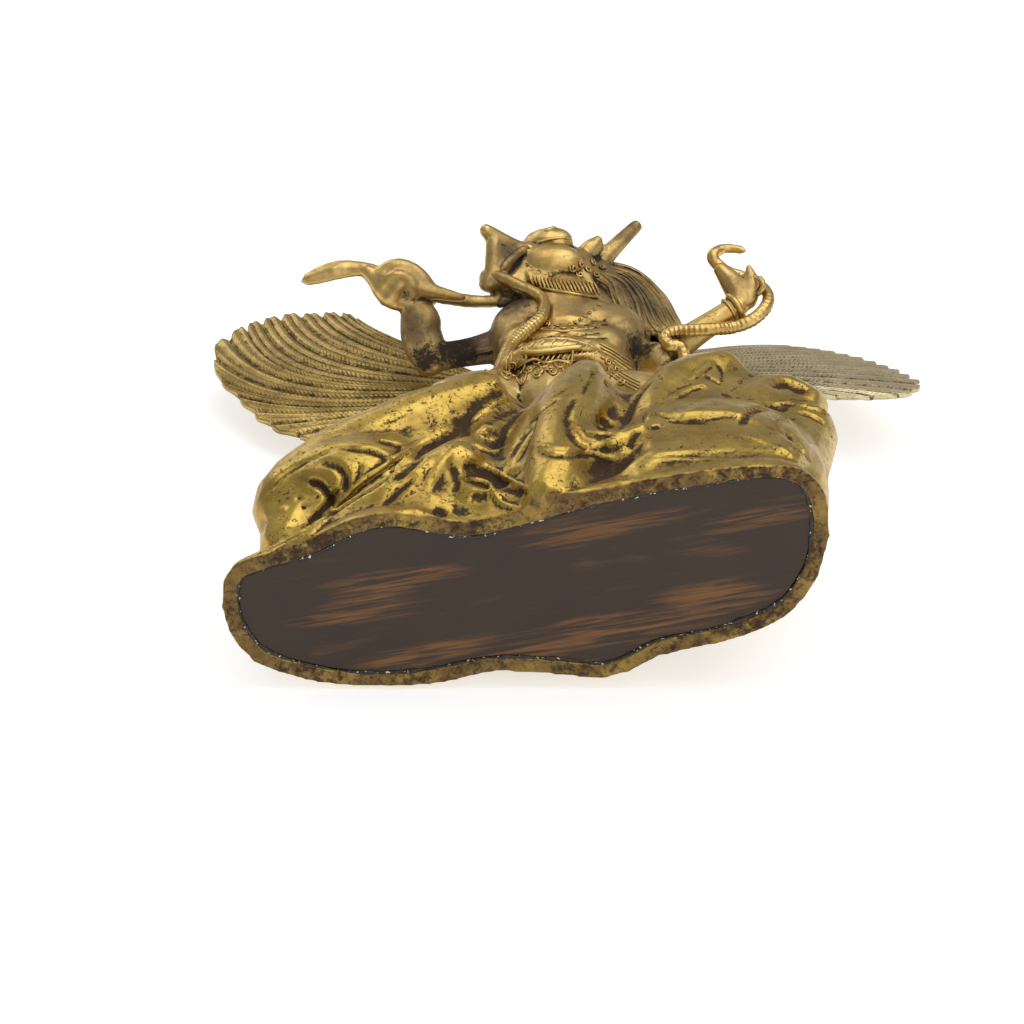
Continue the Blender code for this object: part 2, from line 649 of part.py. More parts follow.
def recentre(obs):
    """Moves the statue so that the centre of its footprint box stands on the origin."""
    lo = Vector((1e9, 1e9, 1e9))
    hi = -lo
    for ob in obs:
        for v in ob.data.vertices:
            for i in range(3):
                lo[i] = min(lo[i], v.co[i])
                hi[i] = max(hi[i], v.co[i])
    shift = Vector((-(lo.x + hi.x) / 2, -(lo.y + hi.y) / 2, -lo.z))
    for ob in obs:
        ob.data.transform(Matrix.Translation(shift))
        ob.data.update()
    return shift


def main():
    clear_scene()
    coll = collection("garuda_statue")
    cutters = collection("cutters")
    cutters.hide_render = True
    gold = material("gilt_bronze_bright", GILDING, 0.25, 1.0)
    bronze = material("gilt_bronze_worn", PATINATED, 0.42, 1.0)
    wood = material("dark_wood", DARK_WOOD, 0.5, 0.0)
    outline = smooth_outline(RIM_OUTLINE, 72)

    snake = build_snake(coll, bronze)
    room = snake_room(cutters)
    bm = bmesh.new()
    figure_forms(bm)
    figure = new_object("garuda_figure", bm, coll, bronze)
    cast(figure, FIGURE_VOXEL, FIGURE_FACES + 500)
    cut(figure, room)
    thin(figure, FIGURE_FACES)
    figure_room = grown(figure, PIECE_GAP + THINNING_ALLOWANCE, cutters)
    wings = []
    for name in WINGS:
        cut(figure, wing_slot(name, cutters))
        wings.append(build_wing(name, coll, bronze))
    rock = build_rock(coll, cutters, gold, outline, figure_room)
    board = build_board(coll, wood, outline)

    pieces = [rock, board, figure, snake] + wings
    for ob in pieces:
        largest_shell(ob)
    recentre(pieces)
    for ob in pieces:
        for poly in ob.data.polygons:
            poly.use_smooth = ob.name != "base_board"
        if ob.name != "base_board":
            ob.data.set_sharp_from_angle(angle=math.radians(50))
    return pieces


main()
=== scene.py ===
import math
import bpy
import numpy as np
from mathutils import Matrix, Vector

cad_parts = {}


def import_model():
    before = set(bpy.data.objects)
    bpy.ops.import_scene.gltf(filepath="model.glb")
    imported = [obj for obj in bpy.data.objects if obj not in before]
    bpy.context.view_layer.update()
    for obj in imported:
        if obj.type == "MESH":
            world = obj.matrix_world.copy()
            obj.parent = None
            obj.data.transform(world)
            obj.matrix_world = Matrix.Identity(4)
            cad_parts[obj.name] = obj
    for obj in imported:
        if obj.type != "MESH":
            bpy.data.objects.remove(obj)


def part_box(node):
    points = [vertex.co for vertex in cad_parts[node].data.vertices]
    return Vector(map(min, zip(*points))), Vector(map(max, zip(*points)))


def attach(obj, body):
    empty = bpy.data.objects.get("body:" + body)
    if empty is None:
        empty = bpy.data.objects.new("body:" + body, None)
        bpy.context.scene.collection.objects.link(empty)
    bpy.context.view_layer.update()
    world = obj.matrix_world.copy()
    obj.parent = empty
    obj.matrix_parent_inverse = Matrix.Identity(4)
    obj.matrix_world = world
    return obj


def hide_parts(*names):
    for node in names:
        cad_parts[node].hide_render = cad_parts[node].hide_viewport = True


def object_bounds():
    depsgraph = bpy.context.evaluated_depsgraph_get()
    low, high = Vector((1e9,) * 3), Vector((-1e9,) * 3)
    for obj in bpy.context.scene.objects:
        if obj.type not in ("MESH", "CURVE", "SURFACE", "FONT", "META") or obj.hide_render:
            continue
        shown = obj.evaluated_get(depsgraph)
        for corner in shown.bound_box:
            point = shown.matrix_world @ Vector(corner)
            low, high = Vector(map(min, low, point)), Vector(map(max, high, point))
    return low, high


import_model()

CAD_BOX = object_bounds()
MM = 0.001

# Sizes of the castings, in mm unless the name says otherwise.

RIM_WIDTH = 5.8
BOARD_THICKNESS = 6.0
BOARD_RECESS = 1.4
BOARD_GAP = 0.4
ROCK_VOXEL = 1.15
FIGURE_VOXEL = 0.85
FIGURE_TRIANGLES = 86000
ROCK_FACET_COUNT = 1500
ROCK_SPARE = 0.5
ROCK_FILL = 4.0
ROCK_JOIN_VOXEL = 1.8
ROCK_STROKE_SHARE = 1.3
EDGE_EASE = 2.0
FACET_REACH = 14
SOLE_TOP = 1.6
SOLE_FADE = 1.2
TOE_LENGTH = 19
TOE_LEVEL = 98.5
STRAND_POINTS = 26
OUTLINE_POINTS = 72
GRAIN_TURN = 10.7
FEATHER_TIP = 3.2
WING_THICKNESS = 3.0
BARB_PITCH = 2.1
SNAKE_RADIUS = 3.0
SCALE_PITCH = 2.3

# Underside outline of the rocks.
RIM_OUTLINE = (
    (-115.7, 11), (-113, -1), (-103, -7), (-85, -13), (-72, -20), (-60, -25), (-47, -26), (-24, -22),
    (-12, -24), (5, -29), (22, -34.5), (50, -41), (80, -46), (95, -47), (105, -43.5), (111, -37),
    (114, -26), (114, -13), (111, 1), (102, 16), (88, 25), (71, 31), (54, 34.5), (43, 41),
    (30, 46), (8, 43.5), (-13, 43), (-30, 47), (-47, 50), (-68, 49.5), (-89, 45), (-104, 38.5),
    (-113, 26),
)

# Camera fitted to the picture by the outline of the underside.
PICTURE = 1024
LENS_PIXELS = 2893.0
PICTURE_PIXELS_PER_MM = 2.63
SENSOR_WIDTH = 36.0
CAMERA_AT = (-4.943, -537.569, -959.996)
VIEW_RIGHT = Vector((1.0, 0.0, 0.0))
VIEW_UP = Vector((0.0, -0.88295, 0.46947))
VIEW_ALONG = Vector((0.0, 0.46947, 0.88295))


def spline(points, count):
    """Even samples of a smooth line through the points; values after x, y, z go along."""
    ctrl = [tuple(float(v) for v in p) for p in points]
    ctrl = [ctrl[0]] + ctrl + [ctrl[-1]]
    dense = []
    for k in range(1, len(ctrl) - 2):
        a, b, c, d = ctrl[k - 1:k + 3]
        for s in range(12):
            t = s / 12.0
            dense.append([0.5 * (2 * q + (r - p) * t + (2 * p - 5 * q + 4 * r - u) * t * t
                                 + (3 * q - p - 3 * r + u) * t * t * t)
                          for p, q, r, u in zip(a, b, c, d)])
    dense.append(list(ctrl[-2]))
    dense = np.array(dense)
    steps = np.linalg.norm(np.diff(dense[:, :3], axis=0), axis=1)
    length = np.concatenate(([0.0], np.cumsum(np.maximum(steps, 1e-9))))
    want = np.linspace(0.0, length[-1], count)
    return np.stack([np.interp(want, length, dense[:, i]) for i in range(dense.shape[1])], axis=1)


def closed_outline(points, count):
    ring = list(points[-2:]) + list(points) + list(points[:3])
    line = spline([(x, y, 0.0) for x, y in ring], 40 * len(points))[:, :2]
    gap = np.linalg.norm(line - np.array(points[0], float), axis=1)
    start = int(np.argmin(gap[:len(line) // 4]))
    end = int(np.argmin(gap[len(line) * 3 // 4:])) + len(line) * 3 // 4
    ring = line[start:end]
    return ring[(np.arange(count) * len(ring) / count).astype(int)]


def inset(outline, amount):
    ahead = np.roll(outline, -1, axis=0) - np.roll(outline, 1, axis=0)
    ahead /= np.linalg.norm(ahead, axis=1)[:, None]
    return outline + np.stack((-ahead[:, 1], ahead[:, 0]), axis=1) * amount


BOARD_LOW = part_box("base_board")[0]
OUTLINE = closed_outline(RIM_OUTLINE, OUTLINE_POINTS)
BOARD_LINE = inset(OUTLINE, RIM_WIDTH + BOARD_GAP)
# The design centre lies this far from the frame's origin, in mm.
SHIFT = Vector((BOARD_LOW[0] / MM - BOARD_LINE[:, 0].min(),
                BOARD_LOW[1] / MM - BOARD_LINE[:, 1].min(), 0.0))


def at(x, y, z):
    """Point of the frame, in metres, for a point of the design in mm."""
    return (Vector((float(x), float(y), float(z))) + SHIFT) * MM


# Bench tools.

def pick_none():
    bpy.ops.object.select_all(action="DESELECT")


def pick(*obs):
    pick_none()
    for ob in obs:
        ob.select_set(True)
    bpy.context.view_layer.objects.active = obs[0]


def join(obs, name):
    pick(*obs)
    if len(obs) > 1:
        bpy.ops.object.join()
    ob = bpy.context.object
    bpy.ops.object.transform_apply(location=True, rotation=True, scale=True)
    ob.name = name
    ob.data.name = name
    return ob


def finish_with(ob, kind, **settings):
    """Adds one modifier with its settings and applies it."""
    pick(ob)
    bpy.ops.object.modifier_add(type=kind)
    mod = ob.modifiers[-1]
    for key, value in settings.items():
        setattr(mod, key, value)
    bpy.ops.object.modifier_apply(modifier=mod.name)


def blobs(name, forms):
    """Ellipsoids: centre, radii and turns about X, Y and Z in degrees."""
    obs = []
    for centre, radii, *turn in forms:
        turn = turn[0] if turn else (0, 0, 0)
        bpy.ops.mesh.primitive_ico_sphere_add(
            subdivisions=4, radius=MM, location=at(*centre), scale=radii,
            rotation=[math.radians(t) for t in turn])
        obs.append(bpy.context.object)
    return join(obs, name)


def rods(name, lines, sides=12, rounded=True):
    """Tapering rods along lines of (x, y, z, radius), as one path that is made a mesh."""
    pick_none()
    bpy.ops.curve.primitive_nurbs_path_add()
    ob = bpy.context.object
    curve = ob.data
    curve.splines.clear()
    curve.dimensions = "3D"
    curve.fill_mode = "FULL"
    curve.bevel_depth = MM
    curve.bevel_resolution = max(0, (sides - 4) // 2)
    curve.use_fill_caps = True
    for line in lines:
        line = np.array(line, float)
        if rounded:
            ends = []
            for tip, back in ((line[0], line[1]), (line[-1], line[-2])):
                out = tip[:3] - back[:3]
                out /= max(np.linalg.norm(out), 1e-6)
                ends.append([(*(tip[:3] + out * tip[3] * d), tip[3] * r)
                             for d, r in ((0.35, 0.92), (0.62, 0.72), (0.78, 0.35))])
            line = np.array(list(reversed(ends[0])) + [tuple(p) for p in line] + ends[1])
        path = curve.splines.new("POLY")
        path.points.add(len(line) - 1)
        for point, (x, y, z, r) in zip(path.points, line):
            point.co = (*at(x, y, z), 1.0)
            point.radius = r
    bpy.ops.object.convert(target="MESH")
    ob = bpy.context.object
    bpy.ops.object.transform_apply(location=True, rotation=True, scale=True)
    ob.name = name
    return ob


def plate(outline, level):
    """A filled circle laid on an outline and left selected in edit mode, to be extruded up."""
    pick_none()
    bpy.ops.mesh.primitive_circle_add(vertices=len(outline), radius=MM, fill_type="NGON")
    ob = bpy.context.object
    for v, (x, y) in zip(ob.data.vertices, outline):
        v.co = at(x, y, level)
    bpy.ops.object.mode_set(mode="EDIT")
    bpy.ops.mesh.select_all(action="SELECT")
    return ob


def turn_outwards():
    """Turns all faces of the mesh outwards and leaves edit mode."""
    bpy.ops.mesh.select_all(action="SELECT")
    bpy.ops.mesh.normals_make_consistent(inside=False)
    bpy.ops.object.mode_set(mode="OBJECT")


def prism(name, outline, low, high):
    """Upright plate on an outline."""
    ob = plate(outline, low)
    bpy.ops.mesh.extrude_region_move(TRANSFORM_OT_translate={"value": (0, 0, (high - low) * MM)})
    turn_outwards()
    ob.name = name
    return ob


def outward(ob, merge=0.01):
    """Merges doubles and turns all faces outwards."""
    pick(ob)
    bpy.ops.object.mode_set(mode="EDIT")
    bpy.ops.mesh.select_all(action="SELECT")
    bpy.ops.mesh.remove_doubles(threshold=merge * MM)
    turn_outwards()


def edge_ends(ob):
    """The two vertices of each edge."""
    edges = np.empty(len(ob.data.edges) * 2, np.int64)
    ob.data.edges.foreach_get("vertices", edges)
    return edges.reshape(-1, 2)


def put_values(ob, name, values):
    """One number for each vertex, kept for the finish."""
    values = np.ascontiguousarray(values, np.float32)
    ob.data.attributes.new(name, "FLOAT", "POINT").data.foreach_set("value", values)


def drop_crumbs(ob):
    """Keeps the largest loose body of a casting."""
    edges = edge_ends(ob)
    label = np.arange(len(ob.data.vertices))
    while True:
        low = np.minimum(label[edges[:, 0]], label[edges[:, 1]])
        new = label.copy()
        np.minimum.at(new, edges[:, 0], low)
        np.minimum.at(new, edges[:, 1], low)
        new = new[new]
        if np.array_equal(new, label):
            break
        label = new
    best = np.bincount(label).argmax()
    if (label != best).any():
        pick(ob)
        ob.data.vertices.foreach_set("select", label != best)
        edge_pick = (label[edges] != best).all(axis=1)
        ob.data.edges.foreach_set("select", edge_pick)
        bpy.ops.object.mode_set(mode="EDIT")
        bpy.ops.mesh.select_mode(type="VERT")
        bpy.ops.mesh.delete(type="VERT")
        bpy.ops.object.mode_set(mode="OBJECT")


def cut_away(ob, cutter):
    finish_with(ob, "BOOLEAN", operation="DIFFERENCE", solver="EXACT", object=cutter)
    bpy.data.objects.remove(cutter, do_unlink=True)


def coords(ob, what="co"):
    out = np.empty(len(ob.data.vertices) * 3)
    ob.data.vertices.foreach_get(what, out)
    return out.reshape(-1, 3)


def put_coords(ob, co):
    ob.data.vertices.foreach_set("co", co.reshape(-1))
    ob.data.update()


def aim(view, a, b):
    """Start and direction of the sight line through a place in a view: picture, or mm from a side."""
    if view == "picture":
        way = VIEW_ALONG + VIEW_RIGHT * ((a - PICTURE / 2) / LENS_PIXELS)
        way = way - VIEW_UP * ((b - PICTURE / 2) / LENS_PIXELS)
        return at(*CAMERA_AT), way.normalized()
    if view == "front":
        return at(a, -300, b), Vector((0, 1, 0))
    if view == "back":
        return at(a, 300, b), Vector((0, -1, 0))
    if view == "left":
        return at(-300, a, b), Vector((1, 0, 0))
    return at(300, a, b), Vector((-1, 0, 0))


def on_surface(ob, view, points, spacing=1.0):
    """Samples of a smooth line drawn on the piece as seen in a view: places and normals, in metres."""
    flat = np.array([(p[0], p[1], 0.0) for p in points], float)
    length = np.linalg.norm(np.diff(flat, axis=0), axis=1).sum()
    per_mm = PICTURE_PIXELS_PER_MM if view == "picture" else 1.0
    count = max(2, int(length / per_mm / spacing)) if len(points) > 1 else 1
    line = spline(flat, count) if count > 1 else flat[:1]
    spots = []
    for a, b, _ in line:
        start, way = aim(view, a, b)
        hit, place, normal, _ = ob.ray_cast(start, way)
        if hit:
            spots.append((*place, *normal))
    return np.array(spots).reshape(-1, 6)


class Chasing:
    """A casting on the bench: strokes of the chisel press, raise and stain its surface."""

    def __init__(self, ob):
        self.ob = ob
        self.co = coords(ob)
        self.start = self.co.copy()
        self.normal = coords(ob, "normal")
        self.stain = np.zeros(len(self.co))

    def stroke(self, view, points, width, depth, stain=0.0, sharp=1.0, fade=0.2):
        """Depth in mm is pressed in along the line; below 0 it is raised."""
        spots = on_surface(self.ob, view, points, max(0.5, width * 0.35))
        if not len(spots):
            return
        reach = width * MM
        low = spots[:, :3].min(axis=0) - reach
        high = spots[:, :3].max(axis=0) + reach
        near = np.where(((self.start > low) & (self.start < high)).all(axis=1))[0]
        if not len(near):
            return
        gap = np.linalg.norm(self.start[near][:, None, :] - spots[None, :, :3], axis=2)
        best = gap.argmin(axis=1)
        gap = gap[np.arange(len(near)), best] / reach
        facing = (self.normal[near] * spots[best, 3:]).sum(axis=1) > -0.2
        soft = np.clip(1 - gap, 0, 1) ** sharp
        soft = soft * soft * (3 - 2 * soft) * facing
        if len(spots) > 2 and fade:
            along = best / (len(spots) - 1)
            soft *= np.clip(np.minimum(along, 1 - along) / fade + 0.25, 0, 1)
        self.co[near] -= spots[best, 3:] * (soft * depth * MM)[:, None]
        if stain:
            self.stain[near] = np.maximum(self.stain[near], soft * stain)

    def plane(self, view, corners, share=0.85, soft=3.0):
        """Files one facet flat between its corners, with an edge that fades over a few mm."""
        spots = on_surface(self.ob, view, corners, 3.0)
        middle = spots[:, :3].mean(axis=0)
        normal = np.linalg.svd(spots[:, :3] - middle)[2][2]
        facing = spots[:, 3:].mean(axis=0)
        normal *= np.sign(normal @ facing)
        rim = spots[:, :3] - np.outer((spots[:, :3] - middle) @ normal, normal)
        across = rim[0] - middle
        across /= np.linalg.norm(across)
        up = np.cross(normal, across)
        ring = np.stack(((rim - middle) @ across, (rim - middle) @ up), axis=1)
        from_plane = (self.start - middle) @ normal
        near = np.where((np.abs(from_plane) < FACET_REACH * MM) & (self.normal @ normal > 0.1))[0]
        flat = np.stack(((self.start[near] - middle) @ across, (self.start[near] - middle) @ up), axis=1)
        inside = np.zeros(len(near), bool)
        gap = np.full(len(near), 1.0)
        for a, b in zip(ring, np.roll(ring, -1, axis=0)):
            crosses = (a[1] > flat[:, 1]) != (b[1] > flat[:, 1])
            rise = b[1] - a[1] if abs(b[1] - a[1]) > 1e-9 else 1e-9
            inside ^= crosses & (flat[:, 0] < (b[0] - a[0]) * (flat[:, 1] - a[1]) / rise + a[0])
            edge = b - a
            t = np.clip((flat - a) @ edge / max(edge @ edge, 1e-12), 0, 1)
            gap = np.minimum(gap, np.linalg.norm(flat - a - t[:, None] * edge, axis=1))
        amount = share * inside * np.clip(gap / (soft * MM), 0, 1)
        self.co[near] -= np.outer(amount * ((self.co[near] - middle) @ normal), normal)

    def leave(self):
        put_coords(self.ob, self.co)


def smoothed(co, edges, turns):
    """Places after each point has moved to the middle of its neighbours a number of times."""
    a, b = edges[:, 0], edges[:, 1]
    count = len(co)
    many = np.maximum(np.bincount(a, minlength=count) + np.bincount(b, minlength=count), 1)
    out = co.copy()
    for _ in range(turns):
        out = np.stack([(np.bincount(a, out[b, i], count) + np.bincount(b, out[a, i], count)) / many
                        for i in range(3)], axis=1)
    return out


def mark(ob, **values):
    """Point attributes from 0 to 1 of one shell, such as its stain and film."""
    for name, value in values.items():
        put_values(ob, name, np.broadcast_to(np.clip(value, 0, 1), len(ob.data.vertices)))
    return ob


def near_to(co, regions):
    """Largest value of the soft spheres (centre, radius in mm, value) that reach each point."""
    out = np.zeros(len(co))
    for centre, radius, value in regions:
        gap = np.linalg.norm(co - np.array(at(*centre)), axis=1) / (radius * MM)
        out = np.maximum(out, value * np.clip(1.6 - 1.6 * gap, 0, 1))
    return out


def keep_wear(ob, fine=3, broad=24):
    """Point attributes for the finish: hollow (0 ridge, 1 hollow) at two sizes."""
    edges = edge_ends(ob)
    co = coords(ob)
    normal = coords(ob, "normal")
    for name, turns, size in (("fine_hollow", fine, 0.00022), ("broad_hollow", broad, 0.0009)):
        away = ((smoothed(co, edges, turns) - co) * normal).sum(axis=1)
        put_values(ob, name, np.clip(0.5 + 0.5 * away / size, 0, 1))


def noise3(co, size, seed=0.0):
    """Smooth repeatable waves of about the size in mm, from -1 to 1."""
    p = co / (size * MM) + seed * 7.31
    x, y, z = p[:, 0], p[:, 1], p[:, 2]
    out = np.sin(x * 1.9 + 1.7 * np.sin(y * 1.3 + seed)) + np.sin(y * 2.1 + 1.5 * np.sin(z * 1.1 + 2.0))
    out += np.sin(z * 2.3 + 1.6 * np.sin(x * 1.2 + 4.0)) + np.sin((x + y + z) * 1.4 + 1.0)
    return out / 4.0


# Rocks.

ROCK_RODS = (
    # Left slab, a long rounded leaf that overhangs at its end.
    ((-93, 3, 50, 14), (-92, 0, 60, 16), (-76, -7, 76, 16), (-50, -16, 88, 15), (-28, -22, 98, 13),
     (-15, -25, 105, 11)),
    ((-92, 8, 36, 13), (-84, 0, 54, 14), (-60, -8, 68, 14), (-34, -14, 78, 12)),
    ((-80, 6, 74, 12), (-54, -2, 88, 12), (-28, -8, 97, 10)),
    # Ridge that climbs from the rim at the left.
    ((-109, 7, 3, 6), (-86, -6, 8, 7), (-67, -14, 17, 7.5), (-48, -24, 23, 8), (-29, -30, 35, 8)),
    ((-70, -8, 8, 9), (-46, -16, 12, 10), (-24, -18, 18, 9)),
    # Folds round the front hollow.
    ((-27, -27, 22, 3.6), (-18, -27, 13, 3.6), (-6, -28, 12, 3.6), (2, -30, 23, 4.4), (3, -30, 40, 4.6)),
    ((-24, -20, 62, 8), (-15, -19, 46, 8), (-8, -19, 28, 8)),
    # Middle lobe that rises to a rounded peak.
    ((8, -32, 6, 8), (12, -34, 20, 10), (14, -33, 44, 13), (18, -31, 70, 15), (23, -29, 94, 14),
     (26, -28, 112, 10)),
    ((0, -26, 30, 8), (4, -24, 56, 11), (11, -24, 82, 12), (18, -24, 102, 10)),
    # Right slab, broad and bent, with two rounded heads.
    ((50, -22, 60, 12), (54, -24, 86, 13), (66, -25, 112, 13), (82, -24, 126, 11.5)),
    ((62, -20, 60, 16), (70, -20, 90, 16), (82, -18, 112, 14)),
    ((80, -14, 66, 18), (92, -16, 96, 17), (105, -16, 117, 13), (115, -14, 113, 12)),
    ((92, -14, 24, 19), (103, -14, 56, 17), (113, -13, 92, 15)),
    # Folds below the right slab.
    ((22, -33, 42, 8), (34, -36, 36, 7), (50, -36, 44, 7.5), (70, -37, 54, 8)),
    ((44, -33, 12, 9), (62, -36, 30, 10), (80, -36, 36, 11), (98, -34, 24, 11)),
    # Ground of the hollow beside the left slab.
    ((-7, -15, 109, 8), (-11, -17, 90, 8), (-14, -20, 73, 8)),
    # Back slopes, plainer.
    ((-78, 28, 10, 17), (-58, 28, 44, 17), (-34, 24, 70, 16), (-8, 20, 86, 13)),
    ((-40, 33, 8, 15), (-24, 30, 46, 15), (0, 24, 74, 14)),
    ((20, 30, 8, 14), (34, 27, 44, 15), (42, 18, 80, 15)),
    ((78, 12, 8, 18), (84, 9, 48, 18), (78, 2, 86, 16)),
)
ROCK_BLOBS = (
    ((-26, -30, 37), (10, 8, 9)),
    ((82, -8, 52), (38, 31, 58)),
    ((74, -20, 42), (44, 24.5, 52)),
    ((-62, -6, 62), (34, 20, 24)),
)
# Levels of the hidden mass: share of the outline in X and Y, shift in X and Y, height.
ROCK_LEVELS = (
    (1.0, 1.0, 0, 0, -5), (1.0, 1.0, 0, 0, 4), (0.965, 0.95, 2, 0, 12), (0.87, 0.84, 5, 1, 26),
    (0.80, 0.70, 6, 3, 48), (0.70, 0.56, 12, 4, 72), (0.52, 0.48, 16, 6, 94), (0.40, 0.42, 14, 8, 101),
)

# Chisel strokes on the rocks as the picture shows them: line, width and depth in mm, stain.
ROCK_STROKES = (
    # Left slab: rounded upper band, four curved dents, pits and the worn knuckle.
    (((262, 496), (284, 476), (310, 460), (338, 447)), 2.6, 0.5, 0.1),
    (((342, 447), (356, 449), (370, 451), (384, 457), (377, 466)), 2.2, 1.7, 1.0),
    (((377, 439), (388, 443), (399, 446), (395, 455)), 2.1, 1.5, 1.0),
    (((321, 462), (336, 465), (344, 476), (346, 493)), 2.6, 2.0, 1.0),
    (((307, 481), (320, 485), (327, 496), (331, 508)), 2.8, 2.2, 1.0),
    (((361, 463), (358, 474), (354, 486)), 1.7, 0.9, 0.7),
    (((284, 509),), 2.2, -0.8, 0.0),
    (((299, 498),), 1.6, 0.7, 0.7),
    (((304, 507),), 1.6, 0.8, 0.7),
    (((317, 497),), 1.5, 0.7, 0.7),
    (((466, 414), (480, 403), (495, 396), (506, 393)), 5.0, 0.7, 0.9),
    (((484, 426), (498, 418), (512, 412)), 4.5, 0.0, 0.85),
    (((482, 438), (494, 432), (504, 444), (496, 454)), 5.0, 0.0, 0.8),
    (((509, 459), (522, 439), (534, 425)), 3.0, 0.6, 0.9),
    (((470, 424), (482, 412), (496, 402), (508, 398)), 1.6, -0.7, 0.0),
    (((460, 387), (462, 380)), 1.8, 0.3, 0.7),
    (((407, 413), (414, 409)), 2.2, 0.3, 0.75),
    (((430, 428), (436, 418)), 1.9, 0.5, 0.8),
    (((382, 424), (398, 419), (408, 413)), 1.6, 0.3, 0.6),
    (((420, 404), (428, 402)), 1.8, 0.2, 0.55),
    (((448, 410), (456, 413)), 1.8, 0.3, 0.6),
    # Ridge at the left with its grooves and knob.
    (((258, 559), (290, 545), (314, 533), (333, 511), (355, 487), (378, 471), (399, 455), (425, 440)),
     2.0, -1.5, 0),
    (((262, 556), (296, 540), (321, 522), (340, 508), (358, 496), (378, 484), (395, 470)), 1.9, 1.4, 0.85),
    (((250, 556), (280, 543), (306, 528), (325, 505), (345, 482)), 2.2, 1.3, 0.3),
    (((390, 482), (407, 468), (420, 456), (435, 443), (456, 431)), 4.0, 1.7, 0.95),
    (((384, 505), (398, 492), (414, 478)), 2.1, 1.2, 0.8),
    (((425, 492), (438, 470), (452, 450)), 3.2, -1.1, 0),
    (((440, 512),), 4.2, 2.6, 0.9),
    (((453, 466), (456, 478), (455, 492)), 2.4, 1.4, 0.7),
    (((430, 492), (436, 500)), 2.2, -0.6, 0.2),
    (((333, 530), (370, 520), (407, 511), (425, 514), (450, 524), (480, 522)), 1.6, -0.8, 0),
    (((320, 545), (360, 527), (400, 520), (425, 524)), 1.5, 0.5, 0.3),
    # Hollow between the ridge and the middle lobe, with thin ridges and a coarse ground.
    (((462, 466), (474, 468), (490, 475), (506, 484)), 4.4, 1.4, 0.9),
    (((470, 494), (479, 497), (488, 496)), 3.6, 1.6, 0.9),
    (((499, 486), (512, 489), (525, 492)), 3.4, 1.4, 0.9),
    (((460, 480), (475, 480), (488, 483), (494, 493), (503, 504), (518, 508)), 1.4, -1.4, 0),
    (((486, 465), (500, 474), (514, 482), (530, 491)), 1.4, -1.4, 0),
    (((470, 445), (485, 450), (500, 455)), 3.6, 1.4, 0.8),
    (((505, 420), (500, 440), (495, 455)), 3.0, 1.2, 0.7),
    # Middle lobe: grooves, the dark C-shaped band and a pit.
    (((596, 366), (590, 380), (582, 394)), 2.2, 1.3, 0.8),
    (((577, 396), (568, 408), (567, 420), (571, 434), (582, 447), (591, 450)), 2.9, 1.9, 1.0),
    (((586, 400), (578, 410), (578, 425), (585, 438)), 1.3, -0.8, 0),
    (((529, 424), (545, 408), (558, 399)), 1.9, 1.0, 0.7),
    (((552, 397), (561, 392), (568, 387)), 2.6, 0.3, 0.75),
    (((607, 384),), 2.6, 1.3, 0.8),
    (((537, 414), (531, 434), (522, 452), (516, 462)), 2.5, 1.3, 0.75),
    (((536, 452), (558, 456), (578, 456), (596, 455)), 1.9, 1.0, 0.8),
    (((530, 445), (560, 447), (590, 452), (620, 461)), 1.3, -0.7, 0),
    # Deep matte hollow right of the lobe.
    (((600, 440), (604, 425), (612, 415)), 6.0, 3.4, 1.0),
    (((598, 448), (612, 450), (625, 444)), 2.6, 1.2, 0.9),
    (((628, 448), (634, 438), (640, 430)), 2.4, 1.2, 0.8),
    # Right slab: notch and bump at the top, bright edge lines, eye-like recess.
    (((690, 379), (702, 369), (714, 362)), 1.9, -0.9, 0),
    (((706, 376), (714, 380), (721, 384)), 2.2, 1.6, 0.8),
    (((716, 362), (722, 372), (721, 384)), 1.8, 0.9, 0.4),
    (((669, 402), (682, 393), (696, 387), (708, 386)), 3.0, -1.1, 0),
    (((651, 416), (668, 416), (687, 418), (708, 417)), 1.7, 1.0, 0.75),
    (((650, 425), (662, 421)), 2.6, 1.5, 0.9),
    (((641, 428), (655, 414), (668, 414)), 1.6, -0.6, 0),
    (((687, 428),), 1.5, 0.2, 0.9),
    (((706, 429),), 1.4, 0.2, 0.8),
    (((669, 445),), 1.4, 0.2, 0.9),
    (((681, 442),), 1.7, 0.2, 0.9),
    (((707, 451),), 1.7, 0.2, 0.9),
    (((694, 438),), 1.4, 0.2, 0.7),
    (((655, 372), (664, 381)), 2.1, 0.2, 0.7),
    (((712, 403), (718, 407)), 1.6, 0.2, 0.7),
    (((775, 449),), 1.6, 0.2, 0.7),
    # Right end: two coarse recesses parted by a bright ridge.
    (((772, 386), (786, 384), (800, 389), (815, 386), (831, 397)), 4.2, 2.0, 0.85),
    (((777, 403), (792, 404), (807, 407), (822, 412), (832, 416)), 1.6, -1.3, 0),
    (((741, 421), (752, 411), (766, 407), (782, 409)), 3.8, 1.8, 0.9),
    (((796, 411), (812, 416), (826, 424)), 3.4, 1.3, 0.8),
    (((788, 432), (797, 444), (806, 457)), 3.6, 1.6, 0.8),
    (((762, 427), (780, 421), (797, 416)), 2.4, -0.8, 0),
    (((740, 425), (760, 436), (780, 448), (798, 460)), 1.6, -0.8, 0),
    (((655, 460), (700, 459), (745, 460), (786, 464)), 1.5, -0.6, 0),
    (((530, 508), (560, 497), (600, 486), (640, 478)), 1.5, -0.7, 0),
    (((708, 470), (716, 477)), 2.2, 0.9, 0.4),
)

# Broad flat facets of the rocks, by their corners in the picture.
FILED_FACETS = (
    ((644, 413), (690, 412), (736, 412), (769, 428), (793, 447),
     (750, 452), (716, 453), (680, 452), (642, 450)),
)

